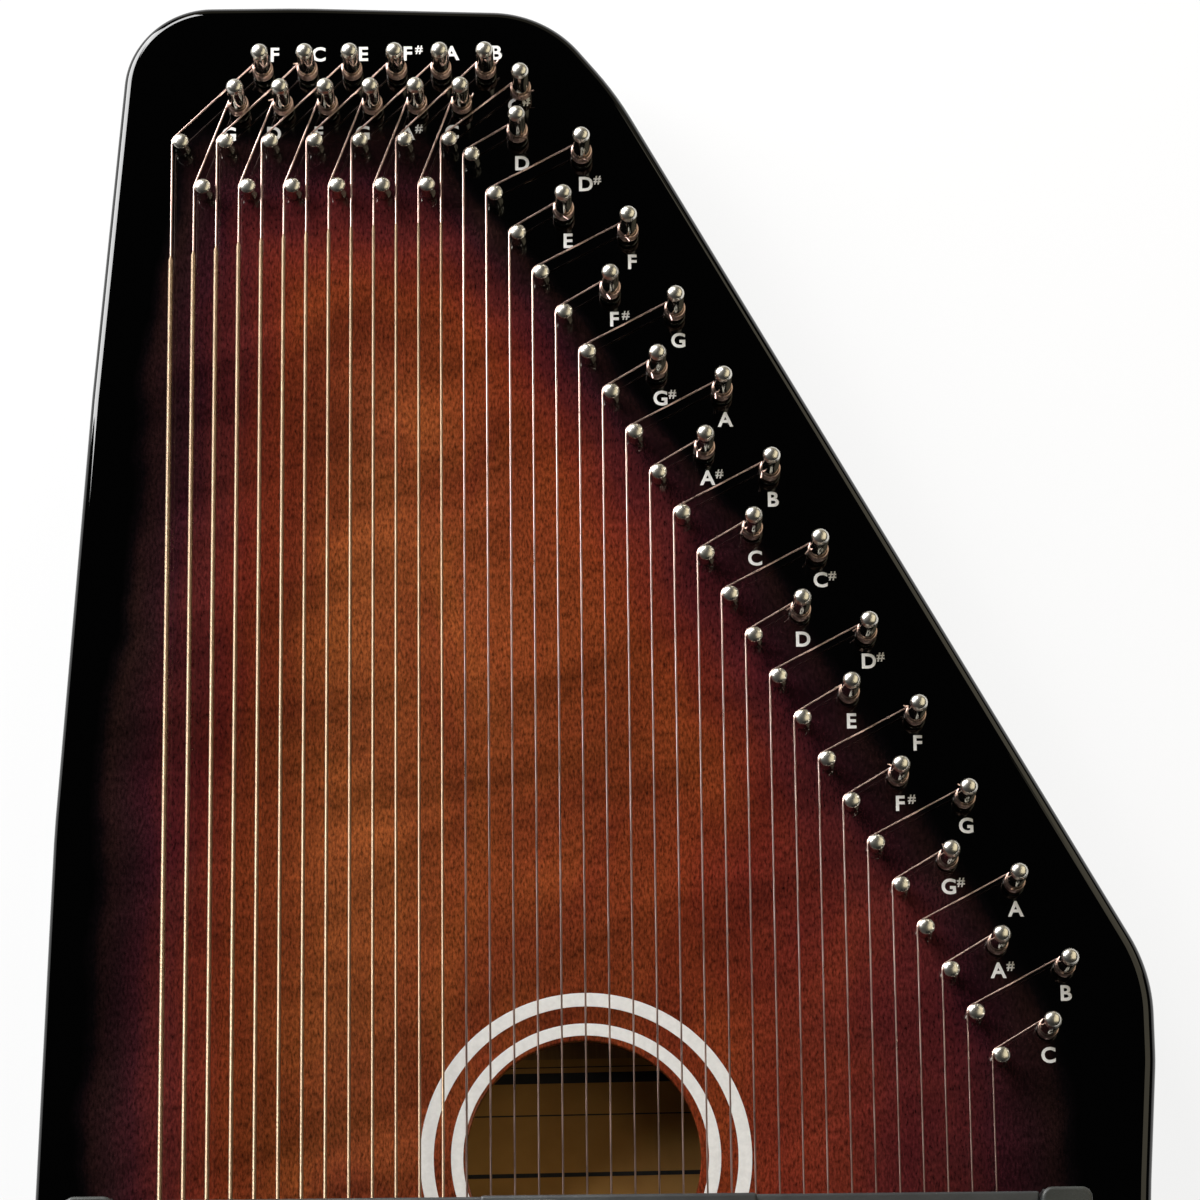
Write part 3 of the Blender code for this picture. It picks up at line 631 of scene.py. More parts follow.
def nickel_material(name, head_low):
    """Nickel plate: a mirror along the shank, duller on the head above a height."""
    tree = Tree(name)
    place = tree.place()
    _, _, height = tree.axes(place)
    marks = tree.noise(tree.stretched(place, (300.0, 300.0, 3500.0)), detail=2.0)
    dull = tree.noise(place, scale=260.0, detail=3.0)
    worn = tree.remap(height, head_low, head_low + NICKEL_FADE, MIRROR_ROUGHNESS, HEAD_ROUGHNESS)
    tree.set(Base_Color=tree.tone(dull, "d4cfc3", "e8e4da"), Metallic=1.0,
             Roughness=tree.plus(worn, tree.gain(dull, 0.0, 0.06)), Normal=tree.bump(marks, 0.12, 0.00008))
    return tree.material


def wire_material(name, dark, light, roughness):
    """Drawn wire with faint streaks."""
    tree = Tree(name)
    streaks = tree.noise(tree.stretched(tree.place(), (2500.0, 90.0, 2500.0)), detail=2.0)
    tree.set(Base_Color=tree.tone(streaks, dark, light), Metallic=1.0,
             Roughness=tree.gain(streaks, roughness, roughness + 0.12))
    return tree.material


def winding_material():
    """Bronze wire wound closely round a core: fine rings across the string."""
    tree = Tree("bronze_winding")
    place = tree.place()
    _, y, _ = tree.axes(place)
    turns = tree.math("SINE", tree.times(y, math.tau / WINDING_PITCH))
    tone = tree.noise(place, scale=180.0, detail=2.0)
    tree.set(Base_Color=tree.tone(tone, "9a836c", "a89076"), Metallic=1.0, Roughness=0.30,
             Normal=tree.bump(turns, 0.5, 0.00006))
    return tree.material


def plastic_material(name, dark, light, roughness, speckle_scale, speckle_strength):
    """Moulded plastic with a fine textured surface."""
    tree = Tree(name)
    place = tree.place()
    cloud = tree.noise(place, scale=90.0, detail=4.0)
    speckle = tree.noise(place, scale=speckle_scale, detail=2.0, roughness=0.7)
    tree.set(Base_Color=tree.tone(cloud, dark, light),
             Roughness=tree.gain(speckle, roughness - 0.06, roughness + 0.08),
             Normal=tree.bump(speckle, speckle_strength, 0.0002))
    return tree.material


def felt_material():
    """Dense wool felt with loose fibres."""
    tree = Tree("felt")
    place = tree.place()
    fibres = tree.noise(place, scale=1500.0, detail=4.0, roughness=0.75)
    cloud = tree.noise(place, scale=160.0, detail=2.0)
    shade = tree.plus(tree.times(fibres, 0.6), tree.times(cloud, 0.4))
    tree.set(Base_Color=tree.tone(shade, "8f8a7d", "cdc8ba"), Roughness=0.95,
             Sheen_Weight=0.4, Sheen_Roughness=0.5, Normal=tree.bump(fibres, 0.6, 0.0004))
    return tree.material


def paper_material():
    """Tan paper, a little uneven."""
    tree = Tree("label_paper")
    place = tree.place()
    cloud = tree.noise(place, scale=60.0, detail=4.0)
    fibre = tree.noise(place, scale=1800.0, detail=2.0)
    tree.set(Base_Color=tree.tone(cloud, "a87836", "c08e46"), Roughness=0.8,
             Normal=tree.bump(fibre, 0.2, 0.0001))
    return tree.material


def print_material(name, dark, light, roughness):
    """Thin opaque print."""
    tree = Tree(name)
    cloud = tree.noise(tree.place(), scale=700.0, detail=2.0)
    tree.set(Base_Color=tree.tone(cloud, dark, light), Roughness=roughness,
             Coat_Weight=0.5, Coat_Roughness=0.05)
    return tree.material


LACQUER = lacquer_material()
BLACK_LACQUER = gloss_black_material("black_lacquer", "0a0708", 0.2)
SIDE_LACQUER = gloss_black_material("side_lacquer", "0b0809", 0.2)
INSIDE_WOOD = bare_wood_material("inside_wood", "7a5630", "a67c48")
BRIDGE_WOOD = bare_wood_material("bridge_hardwood", "1f130c", "3c2617")
NICKEL = nickel_material("nickel", DULL_ALL_OVER)
PIN_NICKEL = nickel_material("pin_nickel", PIN_HEIGHT - PIN_HEAD_HEIGHT)
GUIDE_NICKEL = nickel_material("guide_nickel", GUIDE_HEAD_UNDERSIDE)
STRING_STEEL = wire_material("string_steel", "bea196", "cfb2a8", 0.26)
WINDING = winding_material()
SPRING_STEEL = wire_material("spring_steel", "8d8d8d", "c2c2c2", 0.25)
BALL_BRASS = wire_material("ball_brass", "a87f35", "d8b465", 0.2)
HOLDER_PLASTIC = plastic_material("black_plastic", "0e0e0f", "1a1a1c", 0.5, 1400.0, 0.15)
COVER_PLASTIC = plastic_material("cover_plastic", "2c2e2c", "3a3c39", 0.48, 1800.0, 0.35)
BAR_FINISH = plastic_material("bar_finish", "2b2c2e", "3a3c3d", 0.48, 1800.0, 0.35)
BUTTON_PLASTIC = plastic_material("button_plastic", "d8d4c6", "e6e2d6", 0.28, 500.0, 0.03)
FELT = felt_material()
ROSETTE = print_material("rosette_ivory", "e9e8e6", "f4f3f1", 0.35)
LETTERS = print_material("letter_white", "e4e3e1", "eeedeb", 0.4)
PAPER = paper_material()
LABEL_INK = print_material("label_ink", "0c0a08", "17120d", 0.7)

# Body

TAIL_CORNER_RADIUS = 0.030
SIDE_BEND_RADIUS = 0.200
SHOULDER_RADIUS = 0.066
NECK_EASE_RADIUS = 0.100
NECK_RADIUS = 0.0345
BASS_CORNER_RADIUS = 0.0257
NECK_STARTS_BEFORE = 0.0065
NECK_EASES_OVER = 0.0285
NECK_BEYOND_FIRST_DIAGONAL = 0.0281
HEAD_FALL = 0.0025
HEAD_FLAT_END = 0.0500
SHOULDER_ABOVE_LAST_GUIDE = 0.0243
SHOULDER_FLAT = 0.025
TREBLE_WAIST_INSET = 0.0027
TREBLE_WAIST_BELOW_SHOULDER = 0.062
TREBLE_TAIL_INSET = 0.0115
BASS_TOP_INSET = 0.0248
BASS_SIDE = ((0.0147, 0.120), (0.0061, 0.247), (0.0, 0.431))
CHAMBER_CORNER = 0.004
BOARD_ROUND = 0.0030
BACK_ROUND = 0.0020


def bass_side(inset):
    """Corners of the bass side from the head down, moved inward, from BASS_SIDE's insets and distances."""
    return [(-SIDE_X + corner_inset + inset, HEAD_Y - below_head) for corner_inset, below_head in BASS_SIDE]


def body_outline():
    """Outline of the body, anticlockwise from the treble corner at the tail."""
    first = guide_centre(FIRST_DIAGONAL)
    shoulder_y = guide_centre(STRING_COUNT).y + SHOULDER_ABOVE_LAST_GUIDE
    neck = Vector((first.x + NECK_BEYOND_FIRST_DIAGONAL, HEAD_Y - HEAD_FALL))
    ease = neck + (Vector((SIDE_X, shoulder_y)) - neck).normalized() * NECK_EASES_OVER
    return rounded_outline([
        (SIDE_X - TREBLE_TAIL_INSET, TAIL_Y, TAIL_CORNER_RADIUS),
        (SIDE_X - TREBLE_WAIST_INSET, shoulder_y - TREBLE_WAIST_BELOW_SHOULDER, SIDE_BEND_RADIUS),
        (SIDE_X, shoulder_y - SHOULDER_FLAT, SHOULDER_RADIUS),
        (SIDE_X, shoulder_y, SHOULDER_RADIUS),
        (ease.x, ease.y, NECK_EASE_RADIUS),
        (neck.x - NECK_STARTS_BEFORE, neck.y, NECK_RADIUS),
        (-SIDE_X + BASS_TOP_INSET + HEAD_FLAT_END, HEAD_Y, SIDE_BEND_RADIUS),
        (-SIDE_X + BASS_TOP_INSET, HEAD_Y, BASS_CORNER_RADIUS),
        *[(x, y, SIDE_BEND_RADIUS) for x, y in bass_side(0.0)],
        (-SIDE_X, TAIL_Y, TAIL_CORNER_RADIUS),
    ])


def chamber_outline():
    """Inside of the frame, between the rails and the pin block."""
    first = guide_centre(FIRST_DIAGONAL)
    along = (guide_centre(STRING_COUNT) - first).normalized()
    block_edge = first + Vector((along.y, -along.x)) * BLOCK_BELOW_GUIDES
    top = guide_centre(2).y - BLOCK_BELOW_GUIDES
    bottom = BRIDGE_Y + BRIDGE_WIDTH
    right = SIDE_X - TREBLE_WAIST_INSET - SIDE_RAIL_WIDTH
    corners = [
        (SIDE_X - TREBLE_TAIL_INSET - SIDE_RAIL_WIDTH, bottom),
        (right, block_edge.y + (right - block_edge.x) * along.y / along.x),
        (block_edge.x + (top - block_edge.y) * along.x / along.y, top),
        (-SIDE_X + BASS_TOP_INSET + SIDE_RAIL_WIDTH / 2, top),
        *bass_side(SIDE_RAIL_WIDTH),
        (-SIDE_X + SIDE_RAIL_WIDTH, bottom),
    ]
    return rounded_outline([(x, y, CHAMBER_CORNER) for x, y in corners], COARSE_ARC)


bars_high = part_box("left_bar_holder")[1]
BARS_HEAD_Y = bars_high.y
HOLE_Y = BARS_HEAD_Y + HOLE_ABOVE_BARS
BORE_RADIUS = PIN_RADIUS + FIT_GAP
BORE_RIM = 0.0002
BORE_SIDES = 20
BORE_BELOW_PIN = 0.001
HOLE_RIM = 0.0004
HOLE_SIDES = 96
LEVEL_TOLERANCE = 0.0001


def pin_holes(floor):
    return [(*pin_centre(number), BORE_RADIUS, BORE_RIM, BORE_SIDES, floor)
            for number in range(1, STRING_COUNT + 1)]


def make_body():
    """Soundboard, side band with its chamber, and back."""
    outline = body_outline()
    holes = [(HOLE_X, HOLE_Y, HOLE_RADIUS, HOLE_RIM, HOLE_SIDES, None)] + pin_holes(None)
    board = slab_mesh("soundboard_top", outline, BOARD_BOTTOM, BOARD_TOP, 0.0, BOARD_ROUND, holes)
    link_piece("soundboard_top", board, LACQUER, "harp_body", "sunburst_lacquer", "soundboard")
    make_side_band(outline)
    back = slab_mesh("back_plate", outline, 0.0, BACK_TOP, BACK_ROUND)
    plate = link_piece("back_plate", back, BLACK_LACQUER, "harp_body", "black_lacquer", "back_board")
    plate.data.materials.append(INSIDE_WOOD)
    for face in plate.data.polygons:
        if face.normal.z > 0.5 and face.center.z > BACK_TOP - LEVEL_TOLERANCE:
            face.material_index = 1


def same_place(point):
    """X and Y to a hundredth of a millimetre, to compare places."""
    return round(point[0], 5), round(point[1], 5)


def make_side_band(outline):
    """Side band round the chamber, black outside and bare wood inside."""
    work = bmesh.new()
    low, high = BACK_TOP, BOARD_BOTTOM
    outer = [add_ring(work, outline, level) for level in (low, high)]
    chamber = chamber_outline()
    inner = [add_ring(work, chamber, level) for level in (low, high)]
    bridge_rings(work, *outer)
    bridge_rings(work, *inner)
    fill_rings(work, [outer[0], inner[0]])
    tops = [outer[1], inner[1]]
    for x, y, radius, _, sides, floor in pin_holes(BOARD_TOP - PIN_BURIED - BORE_BELOW_PIN):
        wall = [add_ring(work, circle_points(x, y, radius, sides), level) for level in (high, floor)]
        bridge_rings(work, *wall)
        work.faces.new(wall[1])
        tops.append(wall[0])
    fill_rings(work, tops)
    band = body_piece("side_band", work, SIDE_LACQUER, "side_lacquer", "frame")
    band.data.materials.append(INSIDE_WOOD)
    outside = {same_place(point) for point in outline}
    for face in band.data.polygons:
        if not all(same_place(band.data.vertices[index].co) in outside for index in face.vertices):
            face.material_index = 1


RING_HEIGHT = 0.00008
RING_EDGE = 0.00004
RING_SIDES = 160
ROSETTE_X = -0.0019
ROSETTE_RINGS = {"rosette_inner_ring": (0.0341, 0.0375), "rosette_outer_ring": (0.0423, 0.0461)}


def make_rosette():
    """Two thin flat rings round the sound hole."""
    for name, (inner, outer) in ROSETTE_RINGS.items():
        work = bmesh.new()
        profile = [(inner, 0.0), (inner, RING_HEIGHT - RING_EDGE), (inner + RING_EDGE, RING_HEIGHT),
                   (outer - RING_EDGE, RING_HEIGHT), (outer, RING_HEIGHT - RING_EDGE), (outer, 0.0)]
        rings = [add_ring(work, circle_points(ROSETTE_X, HOLE_Y, radius, RING_SIDES), BOARD_TOP + level)
                 for radius, level in profile]
        join_rings(work, rings + rings[:1])
        body_piece(name, work, ROSETTE, "rosette_ivory")


LABEL_LOW = Vector((-0.052, -0.098))
LABEL_HIGH = Vector((0.048, -0.017))
LABEL_TILT = math.radians(0.65)
LABEL_THICKNESS = 0.0002
LABEL_LIFT = 0.00005
INK_HEIGHT = 0.00004
RULE_MARGIN = 0.003
LABEL_RULES = ((-0.0193, 0.0003), (-0.0224, 0.0030), (-0.0330, 0.0004), (-0.0500, 0.0012),
               (-0.0830, 0.0004), (-0.0925, 0.0022))


def make_label():
    """Paper label under the sound hole with plain ruled lines, from their middles and widths."""
    work = bmesh.new()
    rounded_box(work, (*LABEL_LOW, 0.0), (*LABEL_HIGH, LABEL_THICKNESS), 0.0)
    bmesh.ops.subdivide_edges(work, edges=work.edges, cuts=4, use_grid_fill=True)
    centre = (LABEL_LOW + LABEL_HIGH) / 2
    turn = Matrix.Translation((*centre, BACK_TOP + LABEL_LIFT)) @ Matrix.Rotation(LABEL_TILT, 4, "Z")
    turn = turn @ Matrix.Translation((*-centre, 0.0))
    bmesh.ops.transform(work, matrix=turn, verts=work.verts)
    body_piece("label", work, PAPER, "label_paper")
    rules = bmesh.new()
    for middle, width in LABEL_RULES:
        rounded_box(rules, (LABEL_LOW.x + RULE_MARGIN, middle - width / 2, LABEL_THICKNESS),
                    (LABEL_HIGH.x - RULE_MARGIN, middle + width / 2, LABEL_THICKNESS + INK_HEIGHT), 0.0)
    bmesh.ops.transform(rules, matrix=turn, verts=rules.verts)
    body_piece("label_rules", rules, LABEL_INK, "label_paper")


# Pins

GUIDE_DOME_DROP = 0.0010
GUIDE_HEAD_SKIRT = 0.0002
GUIDE_COLLAR = 0.0002
GUIDE_BURIED = 0.0006
GUIDE_SIDES = 24
PIN_DOME_DROP = 0.0011
PIN_EASE = 0.0001
PIN_TIP = 0.001
PIN_SIDES = 28


def dome_profile(radius, top, drop, steps):
    """(radius, height) points of a dome from its middle out."""
    return [(radius * math.sin(math.pi / 2 * step / steps),
             top - drop + drop * math.cos(math.pi / 2 * step / steps)) for step in range(steps + 1)]


def guide_pin_profile():
    """Nail with a domed head that keeps the string down, and a small collar at its foot."""
    collar = GUIDE_RADIUS + GUIDE_COLLAR
    dome = dome_profile(GUIDE_HEAD_RADIUS, GUIDE_HEIGHT, GUIDE_DOME_DROP, 9)[1:]
    return [(0.0, GUIDE_HEIGHT), *dome, (GUIDE_HEAD_RADIUS, GUIDE_HEAD_UNDERSIDE + GUIDE_HEAD_SKIRT),
            (GUIDE_HEAD_RADIUS - 0.0001, GUIDE_HEAD_UNDERSIDE),
            (GUIDE_RADIUS, GUIDE_HEAD_UNDERSIDE - GUIDE_HEAD_SKIRT), (GUIDE_RADIUS, 0.0003),
            (collar, 0.0), (collar, -GUIDE_BURIED), (0.0, -GUIDE_BURIED)]


def make_guide_pins():
    """Guide pins pressed into the top."""
    profile = guide_pin_profile()
    for number in range(1, STRING_COUNT + 1):
        name = f"guide_pin_{number:02d}"
        mesh = turned_mesh(name, profile, GUIDE_SIDES)
        piece = link_piece(name, mesh, GUIDE_NICKEL, "harp_body", "nickel", sharp=40)
        piece.location = (*guide_centre(number), BOARD_TOP)


def pin_profile():
    """Tuning pin: a crowned head with a chamfer, a straight shank and the plain core in the wood."""
    slim = PIN_RADIUS - PIN_EASE
    dome = dome_profile(PIN_RADIUS - 0.0003, PIN_HEIGHT, PIN_DOME_DROP, 8)
    return [*dome, (slim, PIN_HEIGHT - 0.0014), (PIN_RADIUS, PIN_HEIGHT - 0.0018), (PIN_RADIUS, 0.0004),
            (slim, 0.0), (slim, -PIN_BURIED + PIN_TIP), (PIN_RADIUS - PIN_TIP, -PIN_BURIED),
            (0.0, -PIN_BURIED)]


COIL_LOW = 0.0030
COIL_HIGH = 0.0066
COIL_STEPS = 22
COIL_CLEARANCE = 0.00003
TURN_GAP = 0.00004
CUT_END = 0.0016
CUT_LIFT = 0.0002


def route_angles(number):
    """Heading of the string from its guide pin to its tuning pin, with both wrap radii."""
    thin = end_radius(number)
    around_guide = GUIDE_RADIUS + thin + FIT_GAP
    around_pin = PIN_RADIUS + thin + COIL_CLEARANCE
    reach = pin_offset(number)
    lean = math.asin((around_guide - around_pin) / reach.length)
    heading = math.atan2(reach.y, reach.x) - lean
    return heading, around_guide, around_pin


def string_level(number):
    return STRING_UNDERSIDE + main_radius(number)


def string_turns(number):
    """Points of a string's turns round its tuning pin and of its cut end, from the pin's foot on the top."""
    thin = end_radius(number)
    heading, _, around_pin = route_angles(number)
    start = heading + math.pi / 2
    pitch = 2 * thin + TURN_GAP
    low = COIL_LOW + thin
    turns = (COIL_HIGH - COIL_LOW) / pitch
    below = (string_level(number) - BOARD_TOP - low) / pitch
    points = []
    for step in range(int(turns * COIL_STEPS) + 1):
        turn = step / COIL_STEPS
        angle = start + math.tau * (below - turn)
        x, y = math.cos(angle) * around_pin, math.sin(angle) * around_pin
        points.append(Vector((x, y, low + turn * pitch)))
    last = points[-1]
    inward = Vector((-last.x, -last.y, 0.0)).normalized()
    side = Vector((inward.y, -inward.x, 0.0))
    rise = Vector((0.0, 0.0, CUT_LIFT))
    points.append(last - inward * CUT_LIFT + side * 0.0006 + rise)
    points.append(last - inward * (CUT_LIFT + CUT_END * 0.5) + side * CUT_END + 3 * rise)
    return points


def make_tuning_pins():
    """Tuning pins with the turns of their strings, each riding on its own body."""
    profile = pin_profile()
    for number in range(1, STRING_COUNT + 1):
        node = f"tuning_pin_{number:02d}"
        place = (*pin_centre(number), BOARD_TOP)
        mesh = turned_mesh(f"{node}_shank", profile, PIN_SIDES)
        piece = link_piece(f"{node}_shank", mesh, PIN_NICKEL, node, "nickel", node, sharp=40)
        piece.location = place
        points = string_turns(number)
        work = bmesh.new()
        tube(work, points, [end_radius(number)] * len(points), 8)
        name = f"{node}_string_turns"
        coil = link_piece(name, mesh_from(work, name), STRING_STEEL, node, "string_steel")
        coil.location = place


# Strings, bridge and anchor

ANCHOR_HEIGHT = 0.006
ANCHOR_WIDTH = 0.010
ANCHOR_Y = BRIDGE_Y - 0.0160
ANCHOR_LEVEL = SEAT + ANCHOR_HEIGHT / 2
ANCHOR_BACK_Y = ANCHOR_Y - ANCHOR_WIDTH / 2
ANCHOR_FRONT_Y = ANCHOR_Y + ANCHOR_WIDTH / 2
ANCHOR_GROOVE = 0.0004
ANCHOR_SLOT = 0.0009
ANCHOR_EDGE = 0.0006
TOOTH_EDGE = 0.0005
BALL_RADIUS = 0.0019
BALL_LENGTH = 0.0032
BALL_BORE = 0.0006
BALL_WAIST = 0.0005
BALL_CHAMFER = 0.0003
BALL_FLANGE = 0.0004
STRING_PAST_ANCHOR = 0.0005
STRING_RISE = 0.0004
CORE_OVERLAP = 0.004
WINDING_TAPER = 0.0012
WINDING_END = 1.05
GUIDE_TURN_STEPS = 8
RAIL_OVERHANG = 0.008
RAIL_EDGE = 0.0012
SADDLE_RADIUS = 0.0014
SADDLE_PROUD = 0.0012
SADDLE_INSET = 0.0016
SADDLE_TAPER = 0.0004


def winding_stop(number):
    """Where a winding ends near the head: the lower the string, the further from the pins."""
    share = (WOUND_COUNT - number) / (WOUND_COUNT - 1)
    return guide_centre(1).y - WINDING_STOPS_BELOW_FIRST_ROW - WINDING_STOPS_LOWER_IN_BASS * share ** 2


def guide_turn(number, level):
    """Points of a string round its guide pin and on to its tuning pin."""
    heading, around_guide, around_pin = route_angles(number)
    guide = guide_centre(number)
    leaving = heading + math.pi / 2
    points = []
    for step in range(GUIDE_TURN_STEPS + 1):
        angle = math.pi + (leaving - math.pi) * step / GUIDE_TURN_STEPS
        arm = Vector((math.cos(angle), math.sin(angle))) * around_guide
        points.append(Vector((*(guide + arm), level)))
    arm = Vector((math.cos(leaving), math.sin(leaving))) * around_pin
    points.append(Vector((*(pin_centre(number) + arm), level)))
    return points


def make_winding(number, points, level):
    """Winding of a bass string, which tapers onto its core before the guide pin."""
    x = string_x(number)
    stop = winding_stop(number)
    points = points + [Vector((x, stop - WINDING_TAPER, level)), Vector((x, stop, level))]
    radii = [main_radius(number)] * (len(points) - 1) + [end_radius(number) * WINDING_END]
    work = bmesh.new()
    tube(work, points, radii, 12)
    replaced = ["strings_on_anchor_bar"] if number == 1 else []
    body_piece(f"string_{number:02d}_winding", work, WINDING, "bronze_winding", *replaced)
    return Vector((x, stop - CORE_OVERLAP, level))


def make_strings():
    """Strings from their ball ends over the bridge to the tuning pins."""
    balls = bmesh.new()
    for number in range(1, STRING_COUNT + 1):
        x = string_x(number)
        level = string_level(number)
        points = [Vector((x, ANCHOR_BACK_Y - STRING_PAST_ANCHOR, ANCHOR_LEVEL)),
                  Vector((x, ANCHOR_FRONT_Y, ANCHOR_LEVEL + STRING_RISE)), Vector((x, BRIDGE_Y, level))]
        if number <= WOUND_COUNT:
            points = [make_winding(number, points, level)]
        points += guide_turn(number, level)
        work = bmesh.new()
        tube(work, points, [end_radius(number)] * len(points), 10)
        body_piece(f"string_{number:02d}", work, STRING_STEEL, "string_steel")
        add_ball(balls, Vector((x, ANCHOR_BACK_Y - BALL_RADIUS, ANCHOR_LEVEL)))
    body_piece("string_ball_ends", balls, BALL_BRASS, "bronze_winding")


def add_ball(work, centre):
    """Small brass spool that stops a string behind the anchor bar."""
    end = BALL_LENGTH / 2
    half = [(BALL_BORE, end), (BALL_RADIUS - BALL_CHAMFER, end), (BALL_RADIUS, end - BALL_FLANGE)]
    mirrored = [(radius, -height) for radius, height in reversed(half)]
    first = len(work.verts)
    turn_profile(work, [*half, (BALL_RADIUS - BALL_WAIST, 0.0), *mirrored, half[0]], 14)
    work.verts.ensure_lookup_table()
    turn = Matrix.Translation(centre) @ Matrix.Rotation(math.pi / 2, 4, "X")
    bmesh.ops.transform(work, matrix=turn, verts=work.verts[first:])


def make_rails():
    """Bridge with its steel saddle rod, and the slotted anchor bar."""
    left = string_x(1) - RAIL_OVERHANG
    right = string_x(STRING_COUNT) + RAIL_OVERHANG
    half = BRIDGE_WIDTH / 2
    top = STRING_UNDERSIDE - FIT_GAP
    work = bmesh.new()
    rounded_box(work, (left, BRIDGE_Y - half, SEAT), (right, BRIDGE_Y + half, top - SADDLE_PROUD),
                RAIL_EDGE, 4)
    body_piece("bridge_rail", work, BRIDGE_WOOD, "bridge_hardwood", "bridge")
    work = bmesh.new()
    inset = SADDLE_INSET + SADDLE_TAPER
    points = [Vector((x, BRIDGE_Y, top - SADDLE_RADIUS))
              for x in (left + SADDLE_INSET, left + inset, right - inset, right - SADDLE_INSET)]
    slim = SADDLE_RADIUS - SADDLE_TAPER
    tube(work, points, [slim, SADDLE_RADIUS, SADDLE_RADIUS, slim], 20)
    body_piece("saddle_rod", work, NICKEL, "nickel")
    work = bmesh.new()
    rounded_box(work, (left, ANCHOR_BACK_Y, SEAT), (right, ANCHOR_FRONT_Y, ANCHOR_LEVEL - ANCHOR_GROOVE),
                ANCHOR_EDGE)
    edges = [left] + [string_x(number) for number in range(1, STRING_COUNT + 1)] + [right]
    for index, (before, after) in enumerate(zip(edges, edges[1:])):
        low_x = before if index == 0 else before + ANCHOR_SLOT
        high_x = after if index == STRING_COUNT else after - ANCHOR_SLOT
        rounded_box(work, (low_x, ANCHOR_BACK_Y, ANCHOR_LEVEL - 2 * ANCHOR_GROOVE),
                    (high_x, ANCHOR_FRONT_Y, SEAT + ANCHOR_HEIGHT), TOOTH_EDGE)
    body_piece("anchor_bar", work, NICKEL, "nickel")


# Chord bars

CHORDS = ("D#", "A#", "F", "C", "G", "D", "A", "F7", "C7", "G7", "D7", "A7", "Gm", "Dm", "Am")
SCALE = "C C# D D# E F F# G G# A A# B".split()
bar_low, bar_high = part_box("chord_bar_01")
BAR_TOP = bars_high.z
BAR_HEIGHT = 0.0065
BAR_BOTTOM = BAR_TOP - BAR_HEIGHT
FELT_BOTTOM = bar_low.z
BAR_WIDTH = bar_high.y - bar_low.y
BAR_END_GAP = 0.0008
BAR_EDGE = 0.0008
PLATEAU_EDGE = 0.0010
TONGUE_STEP = 0.0008
TONGUE_EDGE = 0.0006
JOIN_OVERLAP = 0.002
BUTTON_CORNER = 0.0026
BUTTON_EDGE = 0.0016
BUTTON_DISH = ((0.0019, 0.00005), (0.0022, 0.0002), (0.0024, 0.0003))
FELT_HALF_WIDTH = 0.004
FELT_OVERHANG = 0.004
FELT_GAP = 0.0031
FELT_LEAST = 0.0012
FELT_INTO_BAR = 0.0003
FELT_EDGE = 0.0005


def chord_tones(chord):
    """Notes of a major, minor or seventh chord."""
    root = chord.rstrip("m7")
    steps = [0, 3 if chord.endswith("m") else 4, 7]
    if chord.endswith("7"):
        steps.append(10)
    return {SCALE[(SCALE.index(root) + step) % 12] for step in steps}


def holder_face(side):
    """X of the bar holder's inner face on side -1, bass, or +1, treble."""
    low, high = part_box("left_bar_holder" if side < 0 else "right_bar_holder")
    return high.x if side < 0 else low.x


def bar_middle(index):
    """Y of the middle of a chord bar, counted from 0."""
    low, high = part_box(f"chord_bar_{index + 1:02d}")
    return (low.y + high.y) / 2


def rail_mesh():
    """Chord bar with thinner end tongues and the raised middle that carries the button."""
    left = holder_face(-1) + BAR_END_GAP
    right = holder_face(1) - BAR_END_GAP
    half = BAR_WIDTH / 2
    work = bmesh.new()
    rounded_box(work, (left, -half, BAR_BOTTOM), (right, half, BAR_TOP), BAR_EDGE, 3)
    plateau = (PLATEAU_X - PLATEAU_LENGTH / 2, PLATEAU_X + PLATEAU_LENGTH / 2)
    rounded_box(work, (plateau[0], -half + PLATEAU_SET_BACK, BAR_TOP - JOIN_OVERLAP),
                (plateau[1], half - PLATEAU_SET_BACK, BAR_TOP + PLATEAU_HEIGHT), PLATEAU_EDGE, 4)
    reach = TONGUE_LENGTH + BAR_END_GAP
    for low_x, high_x in ((left - reach, left + JOIN_OVERLAP), (right - JOIN_OVERLAP, right + reach)):
        rounded_box(work, (low_x, -TONGUE_WIDTH / 2, BAR_BOTTOM + TONGUE_STEP),
                    (high_x, TONGUE_WIDTH / 2, BAR_TOP - TONGUE_STEP), TONGUE_EDGE, 2)
    return mesh_from(work, "chord_bar_rail")


def button_mesh():
    """Low rounded button with a slightly dished top."""
    half_length, half_width = BUTTON_LENGTH / 2, BUTTON_WIDTH / 2
    corners = rectangle(-half_length, -half_width, half_length, half_width, BUTTON_CORNER)
    outline = rounded_outline(corners, COARSE_ARC)
    height = cad_high.z - BAR_TOP - PLATEAU_HEIGHT
    levels = [(0.0002, 0.0), (0.0, 0.0003), (0.0, height - BUTTON_EDGE)]
    levels += arc_profile(BUTTON_EDGE, height, 1, 5)[1:]
    levels += [(inset, height - drop) for inset, drop in BUTTON_DISH]
    work = bmesh.new()
    stack_rings(work, [add_ring(work, inset_outline(outline, inset), level) for inset, level in levels])
    return mesh_from(work, "button")


